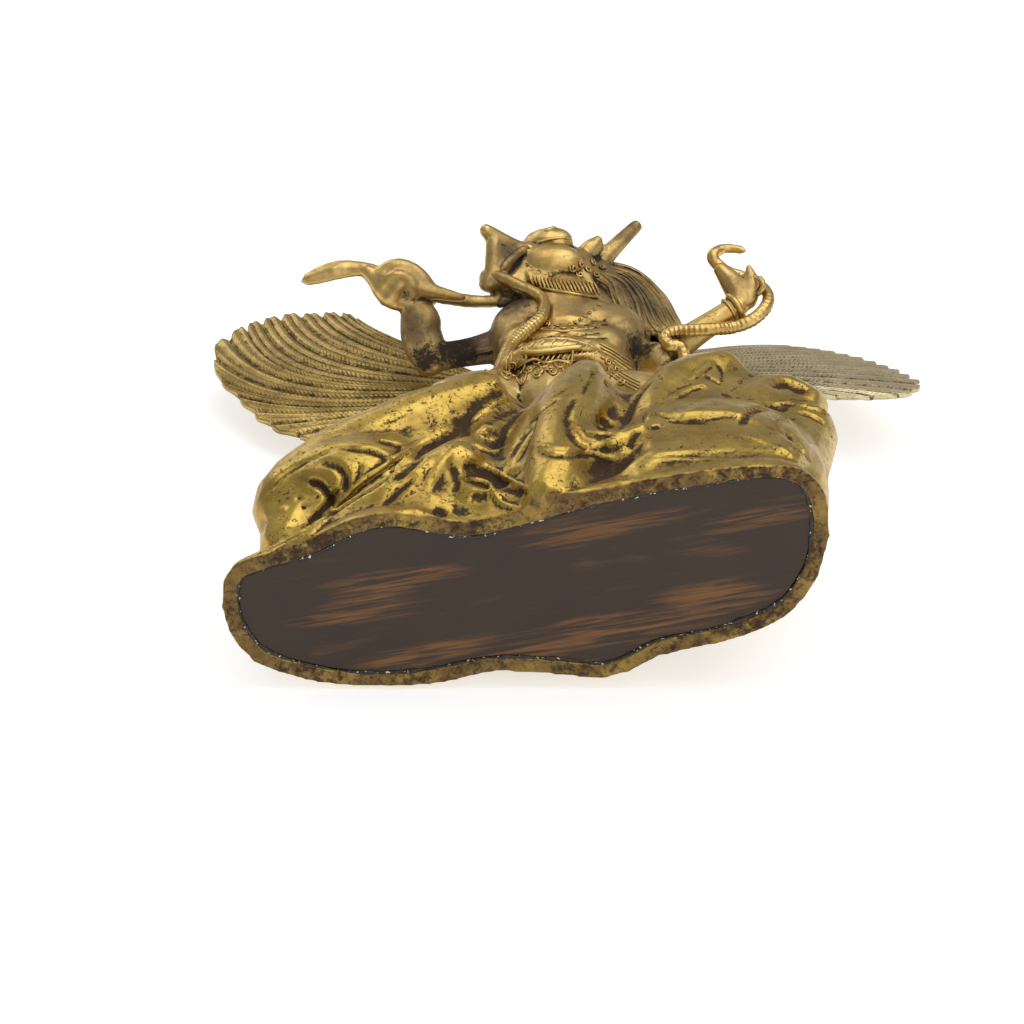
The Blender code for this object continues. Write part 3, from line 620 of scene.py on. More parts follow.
# Strokes on the sides that the picture hides, in mm across and up, seen from the front and back.
FRONT_STROKES = (
    (((40, 66), (44, 84), (52, 100)), 3.0, 1.6, 0.8),
    (((-12, 60), (-6, 78), (0, 92)), 3.0, 1.4, 0.6),
)
BACK_STROKES = (
    (((-70, 20), (-56, 44), (-34, 68)), 7.5, 2.2, 0.0),
    (((-48, 14), (-32, 40), (-12, 64)), 7.0, 2.0, 0.0),
    (((-8, 10), (2, 34), (14, 60)), 7.5, 2.2, 0.0),
    (((16, 12), (26, 38), (34, 66)), 7.0, 2.0, 0.0),
    (((52, 12), (58, 36), (60, 62)), 7.5, 2.2, 0.0),
    (((80, 14), (90, 40), (94, 66)), 7.0, 2.0, 0.0),
    (((-90, 20), (-84, 40), (-70, 56)), 6.0, 1.6, 0.0),
    (((40, 80), (56, 90), (74, 96)), 6.0, 1.8, 0.0),
)


def rock_core():
    """Hidden mass: a filled outline extruded up level by level and drawn in at each."""
    last = ROCK_LEVELS[0]
    ob = plate(inset(OUTLINE, -ROCK_SPARE - ROCK_FILL), last[4])
    middle = OUTLINE.mean(axis=0)
    for level in ROCK_LEVELS[1:]:
        bpy.ops.mesh.extrude_region_move(
            TRANSFORM_OT_translate={"value": ((level[2] - last[2]) * MM, (level[3] - last[3]) * MM,
                                              (level[4] - last[4]) * MM)})
        centre = at(middle[0] + level[2], middle[1] + level[3], level[4])
        bpy.ops.transform.resize(value=(level[0] / last[0], level[1] / last[1], 1.0), center_override=centre)
        last = level
    turn_outwards()
    return ob


def held(values, low, high):
    """Eases the outermost few mm in, so that nothing stands beyond the two limits."""
    soft = EDGE_EASE * MM
    over = np.maximum(values - (high - soft), 0)
    under = np.maximum((low + soft) - values, 0)
    return values - over + soft * (1 - np.exp(-over / soft)) + under - soft * (1 - np.exp(-under / soft))


def make_rocks():
    # The forms are swollen, joined and drawn back, which fills the narrow creases between them.
    lines = [spline([(x, y, z, r + ROCK_FILL) for x, y, z, r in line], 4 * len(line)) for line in ROCK_RODS]
    heads = [(centre, [r + ROCK_FILL for r in radii]) for centre, radii in ROCK_BLOBS]
    ob = join([rock_core(), rods("folds", lines, 16), blobs("heads", heads)], "rocks")
    finish_with(ob, "REMESH", mode="VOXEL", voxel_size=ROCK_JOIN_VOXEL * MM)
    finish_with(ob, "SMOOTH", factor=0.5, iterations=3)
    put_coords(ob, coords(ob) - coords(ob, "normal") * ROCK_FILL * MM)
    finish_with(ob, "SMOOTH", factor=0.5, iterations=2)
    # The wax was cut in soft facets before it was cast.
    faces = sum(len(p.vertices) - 2 for p in ob.data.polygons)
    finish_with(ob, "DECIMATE", ratio=ROCK_FACET_COUNT / faces)
    pick(ob)
    bpy.ops.object.mode_set(mode="EDIT")
    bpy.ops.mesh.select_all(action="SELECT")
    bpy.ops.mesh.bisect(plane_co=(0, 0, 0), plane_no=(0, 0, 1), clear_inner=True, use_fill=True)
    bpy.ops.object.mode_set(mode="OBJECT")
    cut_away(ob, prism("recess", inset(OUTLINE, RIM_WIDTH), -3.0, BOARD_RECESS + BOARD_THICKNESS + BOARD_GAP))
    finish_with(ob, "REMESH", mode="VOXEL", voxel_size=ROCK_VOXEL * MM)
    drop_crumbs(ob)
    finish_with(ob, "SMOOTH", factor=0.5, iterations=8)
    work = Chasing(ob)
    for corners in FILED_FACETS:
        work.plane("picture", corners)
    for points, width, depth, stain in ROCK_STROKES:
        work.stroke("picture", points, width, ROCK_STROKE_SHARE * depth, stain)
    for points, width, depth, stain in FRONT_STROKES:
        work.stroke("front", points, width, depth, stain)
    for points, width, depth, stain in BACK_STROKES:
        work.stroke("back", points, width, depth, stain)
    # Skin of the casting: slow waves all over, and a grain in the stained hollows.
    high = (work.co[:, 2] > 2 * MM)[:, None]
    rise = 0.16 * noise3(work.co, 9.0) + 0.05 * noise3(work.co, 3.0, 1.0)
    rise += work.stain * (0.22 * noise3(work.co, 1.5, 2.0) + 0.12 * noise3(work.co, 0.9, 3.0))
    work.co += work.normal * (rise * MM)[:, None] * high
    # The underside was filed by hand: uneven, nicked and brown from standing.
    low = np.clip((SOLE_TOP * MM - work.co[:, 2]) / (SOLE_FADE * MM), 0, 1)
    file_marks = 0.5 + 0.5 * noise3(work.co, 6.0, 4.0) + 0.35 * noise3(work.co, 1.6, 5.0)
    filed = 0.55 * MM * low * np.clip(file_marks, 0, 1)
    work.co[:, 2] = np.maximum(work.co[:, 2] * (1 - 0.75 * low) + filed, 0.0)
    sole = low * (0.38 + 0.3 * noise3(work.co, 11.0, 6.0) + 0.2 * noise3(work.co, 2.6, 7.0))
    film = low * (0.85 + 0.35 * noise3(work.co, 8.0, 9.0))
    work.co[:, 1] = held(work.co[:, 1], *[corner[1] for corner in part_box("rock_base")])
    work.leave()
    mark(ob, stain=np.maximum(work.stain, sole), film=film)
    keep_wear(ob)
    return ob


# Bird man.

def before(centre, points):
    """Line just before a place as the picture shows it: picture place, lift towards the eye and radius."""
    out = []
    for px, py, lift, radius in points:
        start, way = aim("picture", px, py)
        reach = (at(*centre) - start).dot(VIEW_ALONG) / way.dot(VIEW_ALONG) - lift * MM
        out.append((*((start + way * reach) / MM - SHIFT), radius))
    return out


# Bands of the hand that is knotted round the snake: picture place, lift and radius.
KNOT_BANDS = (
    ((359, 270, -1, 2.6), (368, 272, 1.5, 3.6), (375, 280, 3, 3.8), (381, 291, 4, 3.8),
     (391, 300, 4, 4.0), (406, 302, 3.5, 4.2), (418, 295, 2.5, 3.8), (426, 288, 1, 3.0)),
    ((380, 275, 2, 3.2), (388, 269, 3, 3.8), (400, 267, 3.5, 4.0), (412, 271, 3.5, 4.0),
     (422, 279, 3.5, 3.8), (433, 290, 1, 3.0), (450, 296, -3, 2.0)),
    ((384, 290, 5.5, 2.8), (388, 281, 7, 3), (397, 276, 7.5, 3), (407, 279, 7.5, 3),
     (413, 287, 6.5, 3), (415, 296, 4.5, 2.8)),
    ((393, 299, 6, 3), (397, 289, 7.5, 3.2), (402, 284, 7, 2.8)),
    ((386, 280, 0, 5), (392, 283, 1, 7), (402, 288, 1, 7.5), (412, 292, 0, 7)),
    ((379, 274, 2, 4), (384, 278, 4, 4.2), (390, 282, 5, 4)),
    ((402, 291, 3.5, 4.5), (408, 295, 3.5, 4.5), (415, 297, 2.5, 4), (423, 298, 1, 3.5)),
    ((406, 284, 5, 3.4), (418, 288, 4.5, 3.9), (434, 292, 2.5, 3.5), (462, 298, -3, 2.0)),
)


def figure_forms():
    """Rods and ellipsoids of the legs, skirt, torso, arms, neck and head."""
    lines = []
    balls = []

    def rod(*points, count=None):
        lines.append(spline(points, count or 4 * len(points)))

    for side, hip, knee, ankle in ((-1, (0, 12, 160), (-32, -4, 142), (-16, 6, 108)),
                                   (1, (28, 12, 160), (60, -4, 142), (46, 8, 108))):
        mid = [(h + k) / 2 for h, k in zip(hip, knee)]
        rod((*hip, 16), (mid[0], mid[1] - 2, mid[2] + 3, 14.5), (*knee, 10.5))
        rod((*knee, 10), ((knee[0] + ankle[0]) / 2 + 2 * side, 3, 124, 8.5), (*ankle, 5.5))
        foot = (ankle[0] + side, 2, 102)
        balls.append((foot, (8, 9, 6)))
        for turn in (-32, 0, 32):
            a = math.radians(turn + side * 8)
            tip = (foot[0] + math.sin(a) * TOE_LENGTH, foot[1] - math.cos(a) * TOE_LENGTH, TOE_LEVEL)
            mid = ((foot[0] + tip[0]) / 2, (foot[1] + tip[1]) / 2, 103.5)
            rod((*foot, 4.6), (*mid, 4.2), (*tip, 2.6))
        rod((*foot, 4.5), (foot[0], foot[1] + 9, 102, 3.6), (foot[0], foot[1] + 15, 99, 2.4))
    # Hips, belly and the roll of the skirt.
    balls.append(((13, 12, 162), (31, 20, 17)))
    rod((13, 11, 158, 24), (13, 10, 172, 22), (14, 10, 188, 20))
    rod((-14, 6, 170, 5), (-4, -8, 172, 5), (14, -14, 173, 5), (32, -8, 174, 5), (40, 6, 174, 5),
        (36, 24, 173, 5), (14, 31, 172, 5), (-8, 24, 171, 5), (-14, 6, 170, 5), count=40)
    # Chest, flanks and shoulders.
    balls += [((19, 12, 208), (31, 20, 25)), ((14, 9, 190), (25, 20, 18)), ((3, 5, 214), (15, 12, 14)),
              ((34, 5, 214), (15, 12, 14)), ((41, 5, 229), (14.5, 14, 18)), ((31, 4, 231), (16, 14.5, 17)),
              ((-6, 8, 224), (11, 11, 12))]
    rod((18, 3, 240, 13), (6, 1, 238, 11), (-3, 2, 234, 10.4), (-6, 5, 224, 10))
    # Neck, broad at the throat.
    rod((20, 8, 224, 19), (20, 4, 238, 16), (19, -1, 252, 14.5))
    # Left arm, bent up at the elbow; the hand is a knot round the snake.
    rod((-6, 8, 228, 9), (-22, 9, 222, 6.6), (-40, 11, 219, 6.4))
    rod((-41, 12, 219, 8.5), (-45, 5, 224, 9.5), (-47, -3, 229, 8.5), (-49, -10, 234, 6))
    rod((-45, -2, 227, 8.6), (-46, -4, 228.5, 8.6))
    knot = (-54, -17, 238)
    balls.append((knot, (11, 9, 9), (0, 18, 0)))
    for band in KNOT_BANDS:
        rod(*before(knot, band))
    rod((-62, -8, 240, 3.4), (-60, -13, 246, 3.6), (-53, -17, 248, 3.8), (-45, -14, 244, 3.6),
        (-42, -8, 239, 3.4))
    # Right arm, held out; the hand is open above the snake.
    rod((44, 12, 230, 13), (54, 13, 218, 10), (62, 10, 210, 8))
    rod((61, 9, 210, 7.6), (74, 1, 218, 6.3), (86, -5, 224, 5.5), (96, -10, 228, 5.2))
    rod((97, -10.5, 229, 5), (96.5, -14, 235, 5.8), (93, -18, 240, 5.0), (89, -21.5, 244, 3.4))
    rod((101, -12, 230, 4), (102, -15, 234, 4.4), (102.5, -19, 238, 3.6), (101.5, -24, 241, 1.4))
    # Head with brow, eye domes and cheeks.
    balls += [((18, -3, 271), (19, 18, 18)), ((11, -20, 275.5), (12.5, 8, 8.6), (0, 0, -15)),
              ((12, -15, 264.5), (16, 9.6, 10), (0, 0, -5)), ((2, -3, 273), (11, 12, 11)),
              ((10, -8, 257), (15, 9, 7)), ((2, -21.5, 269.5), (2.8, 2.6, 2.8))]
    # Open hooked beak: ridge, front edge, side and lower jaw.
    rod((8, -16.5, 269, 6.5), (-2, -20.8, 266, 5.2), (-9, -26, 264, 4.4), (-14.5, -30.5, 263, 3.8),
        (-17, -33, 262, 3.1))
    rod((-13, -28, 262, 3.9), (-13.5, -22, 257, 3.8), (-14, -16, 252, 3.9), (-16, -12, 248.5, 4.4))
    for i in range(5):
        t = i / 4.0
        rod((6 - 2 * t, -13 + 5 * t, 265 - 9 * t, 6), (-3.5 - t, -18.5 + 7 * t, 262.5 - 10 * t, 4.5),
            (-11 - 2 * t, -24 + 11 * t, 260.5 - 11 * t, 3.9))
    rod((4, -4, 256, 9), (-4, -5, 255, 7.5), (-11, -6, 252.5, 5))
    # Bed of the jaw fringe.
    for i in range(9):
        t = i / 8.0
        a = (2 + 27 * t, -15 + 4 * t, 256 + 4 * t)
        rod((*a, 2.6), (a[0] + 2.5, a[1] + 2, a[2] - 6, 2.0), count=4)
    # Ears and horns on both sides.
    for far in (0, 1):
        move = Vector((-17, 26, 4)) * far
        for pts in (((26, -10, 278, 4.4), (31, -15, 282, 4.6), (35, -18, 286, 2.6)),
                    ((32, -5, 280, 7.5), (37, -9.5, 283, 5), (44, -14.5, 289, 3.9),
                     (53, -21 - 1.5 * far, 296 + 2.4 * far, 3.1))):
            rod(*[(*(Vector(p[:3]) + move), p[3]) for p in pts], count=12)
    # Mass of the mane below its strands.
    balls.append(((32, 4, 276), (16, 16, 16)))
    rod((28, 6, 270, 14), (38, 10, 260, 13), (46, 12, 246, 10), (52, 12, 233, 6))
    rod((24, 2, 262, 12), (32, 3, 250, 11), (38, 5, 238, 9))
    return lines, balls


MANE_OUTER = ((34, -2, 284), (49, 2, 282), (60, 5, 267), (66, 7, 250), (72, 6, 233))
MANE_INNER = ((34, -5, 266), (40, -1, 260), (44, 1, 250), (48, 3, 240), (51, 4, 229))
MANE_FAR = ((20, 13, 284), (32, 19, 277), (42, 20, 260), (50, 18, 243), (56, 15, 229))
MANE_BACK = ((4, 6, 284), (8, 18, 275), (17, 22, 258), (27, 22, 242), (37, 19, 227))
LOCK_RADII = (6.5, 6.8, 6.2, 4.8, 2.0)
STRANDS_PER_LOCK = 9


def mane_locks():
    locks = []
    for ends, number in (((MANE_INNER, MANE_OUTER), 5), ((MANE_OUTER, MANE_FAR), 4),
                         ((MANE_FAR, MANE_BACK), 4)):
        for i in range(number):
            t = i / (number - 1.0) if ends[0] is MANE_INNER else (i + 1.0) / number
            locks.append([(*[u + (v - u) * t for u, v in zip(p, q)], LOCK_RADII[k])
                          for k, (p, q) in enumerate(zip(*ends))])
    return locks


def mane_strands():
    """Thin strands that follow the locks of the mane on their outer half."""
    axis_a, axis_b = np.array((28.0, 6.0, 270.0)), np.array((52.0, 12.0, 233.0))
    spine = axis_b - axis_a
    out = []
    for n, lock in enumerate(mane_locks()):
        line = spline(lock, STRAND_POINTS)
        ahead = np.gradient(line[:, :3], axis=0)
        ahead /= np.linalg.norm(ahead, axis=1)[:, None]
        share = np.clip((line[:, :3] - axis_a) @ spine / (spine @ spine), 0, 1)[:, None]
        away = line[:, :3] - (axis_a + share * spine)
        away -= (away * ahead).sum(axis=1)[:, None] * ahead
        away /= np.maximum(np.linalg.norm(away, axis=1), 1e-6)[:, None]
        side = np.cross(ahead, away)
        for k in range(STRANDS_PER_LOCK):
            turn = math.radians(-80 + 160 * (k + 0.5) / STRANDS_PER_LOCK)
            wave = np.sin(np.linspace(0, 5.0, STRAND_POINTS) + 1.7 * n + 2.3 * k)
            angle = turn + wave * 0.16
            radius = line[:, 3] * (0.93 + 0.09 * math.sin(3.1 * k + n))
            out_from = away * np.cos(angle)[:, None] + side * np.sin(angle)[:, None]
            place = line[:, :3] + out_from * radius[:, None]
            thick = np.interp(np.linspace(0, 1, STRAND_POINTS), (0, 0.2, 0.8, 1), (0.7, 1.15, 0.95, 0.3))
            thick = thick * (1.0 + 0.25 * math.sin(5.3 * k + 2.1 * n))
            cut = STRAND_POINTS - (n + 2 * k) % 3
            out.append(np.column_stack((place, thick))[:cut])
    return out


LAID_GAP = 3.2


def laid(ob, view, points, radius, lift=0.0, taper=True, spacing=1.0):
    """A thin rod laid along a line on the piece, as the picture shows it."""
    spots = on_surface(ob, view, points, spacing)
    if len(spots) < 3:
        return None
    place = (spots[:, :3] / MM - np.array(SHIFT)) + spots[:, 3:] * lift
    # Where the line leaves one form for another behind it, the longest run is kept.
    gaps = np.where(np.linalg.norm(np.diff(place, axis=0), axis=1) > LAID_GAP)[0] + 1
    place = max(np.split(place, gaps), key=len)
    if len(place) < 3:
        return None
    place[1:-1] = (place[:-2] + 2 * place[1:-1] + place[2:]) / 4
    size = np.full(len(place), radius)
    if taper:
        share = np.linspace(0, 1, len(place))
        size *= np.clip(np.minimum(share, share[::-1]) * 6 + 0.35, 0, 1)
    return np.column_stack((place, size))


def curl(ob, px, py, radius, thick, turn=0.0, view="picture"):
    """A small open spiral that lies on the piece."""
    spots = on_surface(ob, view, ((px, py),))
    if not len(spots):
        return None
    normal = Vector(spots[0, 3:])
    across = normal.orthogonal().normalized()
    up = normal.cross(across)
    centre = Vector(spots[0, :3]) / MM - SHIFT + normal * thick * 0.4
    out = []
    for i in range(15):
        s = i / 14.0
        a = turn + s * 7.2
        r = radius * (1.0 - 0.68 * s)
        p = centre + across * math.cos(a) * r + up * math.sin(a) * r + normal * thick * 0.8 * s
        out.append((*p, thick * (1.0 - 0.35 * s)))
    return np.array(out)


def trim_tools(ob, lines, usual):
    """Two tools that add to the lines: one lays a rod along a line on the piece, one winds a curl."""
    def lay(points, radius, lift=0.0, view=usual):
        line = laid(ob, view, points, radius, lift)
        if line is not None:
            lines.append(line)

    def wind(px, py, radius, thick, turn=0.0):
        line = curl(ob, px, py, radius, thick, turn, usual)
        if line is not None:
            lines.append(line)

    return lay, wind


# Lines and curls of the trim, by their places in the picture.
BEAK_LIP = ((527, 247), (516, 255), (508, 262), (501, 270))
FRINGE_START = (529, 276)
FRINGE_RUN = (68, 7)
FRINGE_EDGE = ((530, 286), (548, 290), (566, 293), (584, 296), (598, 298))
CHEEK_CURLS = ((573, 268, 1.9, 0.4), (581, 264, 1.8, 2.0), (588, 270, 1.9, 3.6), (580, 275, 1.8, 5.0),
               (593, 263, 1.7, 1.0), (597, 275, 1.6, 4.2), (602, 268, 1.6, 2.6))
BROW_EDGE = ((545, 231), (556, 228), (568, 229), (578, 235))
BROW_FOOT = ((537, 243), (550, 239), (566, 238), (579, 243))
COLLAR_EDGE = ((541, 322), (552, 326), (566, 325), (580, 320), (590, 312), (599, 305))
BELT_EDGE = ((464, 359), (474, 352), (493, 348))
WAIST_FOLD = ((515, 352), (541, 352), (577, 347), (604, 344))
HATCH_LEFT = 518
HATCH_SHAPE = ((0, 363, 0.2), (3, 359, 0.4), (5, 356, 0.4))
SKIRT_HEM = ((517, 368), (526, 362), (535, 359), (541, 362), (547, 364), (557, 361), (566, 363), (574, 360))
HEM_LOOPS = ((520, 373), (530, 369), (540, 372), (550, 370), (512, 366), (508, 374))
THIGH_TOP = 344
THIGH_FEATHER = ((600, 0), (612, 6), (626, 15), (640, 22))
THIGH_LOOPS = ((608, 362), (616, 370), (606, 378), (622, 382))


def figure_trim(ob):
    """Chased trim of the figure that the picture shows: beak lip, fringe, curls, collar, belt and skirt."""
    lines = []
    lay, wind = trim_tools(ob, lines, "picture")
    # Lip of the beak.
    lay(BEAK_LIP, 2.2, -0.3)
    # Jaw fringe: slanted short feathers above a bright edge.
    for i in range(19):
        t = i / 18.0
        x, y = [start + run * t for start, run in zip(FRINGE_START, FRINGE_RUN)]
        lay(((x, y), (x + 3, y + 6), (x + 6, y + 12)), 0.75, 0.35)
    lay(FRINGE_EDGE, 0.85, 0.3)
    for i in range(12):
        t = i / 11.0
        x, y = 20 + 16 * t, 258 - 4 * t
        lay(((x, y), (x + 2, y - 4), (x + 4, y - 8)), 0.8, 0.3, "back")
    # Curls beside the cheek and hammered edge on its left.
    for px, py, r, turn in CHEEK_CURLS:
        wind(px, py, r, 0.7, turn)
    lay(BROW_EDGE, 1.1, 0.1)
    lay(BROW_FOOT, 0.7, 0.1)
    # Curly edge of the collar.
    for i, (px, py, _) in enumerate(spline([(x, y, 0) for x, y in COLLAR_EDGE], 12)):
        wind(px, py, 1.0 if i != 1 else 1.9, 0.4 if i != 1 else 0.7, 1.3 * i)
    # Belt edge and waist fold.
    lay(BELT_EDGE, 1.5, -0.4)
    lay(WAIST_FOLD, 1.8, -0.7)
    # Hatch of the skirt band.
    for i in range(17):
        x = HATCH_LEFT + 5.4 * i
        lay([(x + over, level - sink * i) for over, level, sink in HATCH_SHAPE], 0.6, -0.1)
    # Scalloped hem and hanging loops.
    lay(SKIRT_HEM, 0.9, 0.3)
    for px, py in HEM_LOOPS:
        wind(px, py, 2.0, 0.6, px)
    # Feather strands over the thigh.
    for i in range(9):
        y = THIGH_TOP + 3.2 * i
        lay([(x, y + down) for x, down in THIGH_FEATHER], 0.65, 0.2)
    for px, py in THIGH_LOOPS:
        wind(px, py, 1.9, 0.6, py)
    return lines


def front_trim(ob):
    """Chased trim that the picture hides: collar, skirt feathers and belt."""
    lines = []
    lay, wind = trim_tools(ob, lines, "front")
    for i in range(9):
        a = math.radians(-44 + 88 * i / 8.0)
        wind(18 + 26 * math.sin(a), 232 - 22 * math.cos(a), 1.5, 0.5, 1.1 * i)
    lay(((-2, 220), (6, 212), (18, 207), (30, 212), (38, 220)), 0.7, -0.1)
    for view in ("front", "back"):
        for row in range(3):
            for i in range(9):
                x = -14 + 6.6 * i + 3.0 * (row % 2)
                z = 168 - 6 * row
                lay(((x - 2.6, z + 4), (x - 1.4, z - 1.5), (x, z - 3.2), (x + 1.4, z - 1.5),
                     (x + 2.6, z + 4)), 0.6, 0.2, view)
                lay(((x, z + 3), (x, z - 2)), 0.45, 0.15, view)
    for view in ("front", "back"):
        lay(((-14, 178), (2, 177), (14, 176), (28, 177), (40, 179)), 1.0, 0.2, view)
    for i in range(9):
        x = -6 + 4.6 * i
        lay(((x, 171), (x + 2.2, 175)), 0.6, 0.3)
    return lines


def make_figure():
    lines, balls = figure_forms()
    locks = [spline(lock, 16) for lock in mane_locks()]
    ob = join([rods("limbs", lines + locks, 16), blobs("bodies", balls)], "figure")
    finish_with(ob, "REMESH", mode="VOXEL", voxel_size=FIGURE_VOXEL * MM)
    drop_crumbs(ob)
    finish_with(ob, "SMOOTH", factor=0.5, iterations=8)
    work = Chasing(ob)
    for points, width, depth, stain in FIGURE_STROKES:
        work.stroke("picture", points, width, depth, stain)
    for view, points, width, depth, stain in FIGURE_SIDE_STROKES:
        work.stroke(view, points, width, depth, stain)
    rise = 0.06 * noise3(work.co, 4.0, 5.0) + 0.03 * noise3(work.co, 1.8, 6.0)
    # The brow is hammered.
    hammered = near_to(work.co, (((9, -25, 279), 9, 1.0), ((1, -22, 272), 5, 0.7), ((14, -20, 257), 6, 0.7)))
    rise += 0.6 * hammered * noise3(work.co, 1.9, 8.0)
    work.co += work.normal * (rise * MM)[:, None]
    work.leave()
    shells = []
    for name, lines, sides in (("trim", figure_trim(ob) + front_trim(ob), 6), ("hair", mane_strands(), 6),
                               ("tail", tail_lines(), 8), ("bands", band_lines(), 14)):
        shell = rods(name, lines, sides)
        outward(shell)
        # The stain of each shell also holds the painted shade under the arms and shoulders.
        shells.append(mark(shell, stain=near_to(coords(shell), FIGURE_SHADE_AND_STAINS),
                           film=near_to(coords(shell), FIGURE_FILM)))
        keep_wear(shell)
    # The stain of the body also holds painted shade under the arms and shoulders, besides the stroke stains.
    mark(ob, stain=np.maximum(work.stain, near_to(work.co, FIGURE_SHADE_AND_STAINS)),
         film=near_to(work.co, FIGURE_FILM))
    keep_wear(ob)
    # The even mesh of the body is thinned once its marks are on it, to stay light.
    triangles = sum(len(p.vertices) - 2 for p in ob.data.polygons)
    finish_with(ob, "DECIMATE", ratio=FIGURE_TRIANGLES / triangles)
    return join([ob] + shells, "garuda_casting")


# Grey-brown film that the figure has kept, and dark patches, mostly painted shade, under the arms, at the
# shoulders, by the jaw and under the mane: centre, reach and strength.
FIGURE_FILM = (
    ((34, 4, 276), 26, 1.0), ((44, 6, 262), 28, 1.0), ((54, 6, 250), 22, 0.9), ((16, 14, 262), 30, 0.8),
    ((50, -18, 293), 14, 0.7), ((-8, -20, 260), 14, 0.85), ((-15, -12, 250), 9, 0.9),
    ((-15, -30, 263), 8, 0.4),
    ((-24, 8, 224), 26, 1.0), ((-46, 0, 226), 18, 0.9), ((-50, -14, 238), 16, 0.8), ((-4, -2, 238), 20, 1.0),
    ((44, 2, 218), 24, 0.6), ((66, 8, 212), 18, 0.6), ((0, 8, 150), 26, 0.4), ((34, 8, 150), 26, 0.4),
    ((13, 34, 150), 34, 0.6), ((16, 30, 210), 34, 0.5), ((99, -16, 236), 12, 0.5), ((53, -21, 296), 12, 0.5),
)
# Painted shade: dark patches where the arms and shoulders are in shade, kept in the stain attribute.
FIGURE_SHADE_AND_STAINS = (
    ((-30, 6, 214), 15, 0.8), ((-44, 9, 214), 10, 0.8), ((50, 4, 214), 12, 0.7), ((68, 8, 206), 10, 0.6),
    ((-2, -6, 252), 9, 0.6), ((-10, 0, 240), 12, 0.6), ((-2, -7, 236), 12, 0.3), ((56, 6, 226), 12, 0.6),
    ((34, -2, 250), 8, 0.3),
)


FIGURE_STROKES = (
    # Waist fold, breast fold, edge of the shoulder.
    (((531, 336), (560, 335), (602, 333)), 1.5, 0.8, 0.5),
    (((505, 349), (540, 349), (577, 344), (600, 340)), 1.2, 0.4, 0.2),
    (((464, 362), (478, 356), (494, 352)), 1.6, 1.0, 0.8),
    (((515, 357), (541, 357), (577, 352), (604, 349)), 1.4, 0.9, 0.7),
    # Mouth: open corner between the beak and the jaw, nostril, cheek edges.
    (((508, 274), (514, 268), (519, 261), (522, 254)), 2.4, 2.2, 1.0),
    (((529, 247),), 1.4, 1.2, 0.9),
    (((530, 243), (540, 240), (556, 240)), 1.3, 0.35, 0.1),
    (((497, 243), (508, 246), (520, 248)), 2.6, 0.5, 0.2),
    # Cuff of the left arm and bracelet of the right arm.
    (((735, 303), (743, 310), (748, 322)), 1.2, 0.8, 0.5),
)
FIGURE_SIDE_STROKES = (
    ("front", ((4, 196), (18, 192), (32, 196)), 2.0, 0.9, 0.3),
    ("front", ((18, 206), (18, 196), (18, 184)), 2.0, 0.7, 0.2),
    ("front", ((-2, 208), (8, 203), (18, 206), (28, 203), (40, 208)), 2.0, 0.8, 0.2),
    ("front", ((15, 186), (15, 184)), 2.0, 1.2, 0.6),
    ("back", ((16, 220), (15, 200), (14, 182)), 3.0, 1.4, 0.4),
    ("back", ((-2, 214), (6, 208), (12, 200)), 2.4, 0.8, 0.3),
    ("back", ((32, 214), (26, 208), (20, 200)), 2.4, 0.8, 0.3),
)


def tail_lines():
    """Tail feathers down the back of the skirt, each a shaft with barbs at both sides."""
    out = []
    for i in range(5):
        t = i / 4.0 - 0.5
        path = spline(((13 + 16 * t, 27, 172, 4.5), (13 + 34 * t, 34, 152, 5.6),
                       (13 + 50 * t, 37.5, 132, 4.6), (13 + 58 * t, 38.2, 115, 1.8)), 24)
        for side in (-1, 1):
            for layer in (0.25, 0.6, 0.92):
                edge = path.copy()
                edge[:, 0] += side * layer * path[:, 3]
                edge[:, 1] -= 1.2 * layer
                edge[:, 3] = 1.5 * np.clip(path[:, 3] / 5.0, 0.25, 1.0)
                out.append(edge)
        shaft = path.copy()
        shaft[:, 1] += 0.8
        shaft[:, 3] = np.linspace(1.5, 0.7, len(path))
        out.append(shaft)
    return out


def ring_line(centre, axis, radius, thick, count=30):
    """Closed band round a limb."""
    axis = Vector(axis).normalized()
    across = axis.orthogonal().normalized()
    up = axis.cross(across)
    turns = np.linspace(0, 2 * math.pi * 1.01, count)
    spots = [Vector(centre) + across * math.cos(a) * radius + up * math.sin(a) * radius for a in turns]
    return np.array([(*spot, thick) for spot in spots])


def band_lines():
    """Bracelets, armlet, anklets, claws, a spot of solder and the fingers round the snake."""
    out = [ring_line(*band) for band in (
        ((95.5, -9.6, 228.3), (10, -5, 4), 5.9, 1.6), ((92.6, -8.2, 227.2), (10, -5, 4), 5.8, 0.8),
        ((56, 12.5, 216), (10, 1, -12), 9.6, 1.0), ((-15, 5.2, 110.5), (1, 0, 4), 6.2, 1.0),
        ((45, 7.2, 110.5), (-1, 0, 4), 6.2, 1.0))]
    for x, side in ((-17, -1), (47, 1)):
        for turn in (-32, 0, 32):
            a = math.radians(turn + side * 8)
            tip = (x + math.sin(a) * TOE_LENGTH, 2 - math.cos(a) * TOE_LENGTH, TOE_LEVEL)
            claw = [(tip[0] + math.sin(a) * far, tip[1] - math.cos(a) * far, TOE_LEVEL - drop, thick)
                    for far, drop, thick in ((3.5, 0.0, 1.8), (5.5, 2.0, 0.8))]
            out.append(spline(((*tip, 2.5), *claw), 8))
    # Solder at the snake's rod.
    out.append(spline(((-10.5, -5, 243.5, 2.3), (-8.5, -6, 243, 2.5), (-6.5, -6, 243.5, 2.0)), 6))
    # Fingers of the right hand curl round the snake.
    for k in range(3):
        x = 99.5 + 2.0 * k
        out.append(spline(((x - 1, -18, 240 - 2 * k, 1.9), (x + 2.5, -20.5, 239 - 2 * k, 1.7),
                           (x + 4, -18.5, 235.5 - 2 * k, 1.4), (x + 2, -15.5, 234 - 2 * k, 1.1)), 12))
    return out


# Wings.

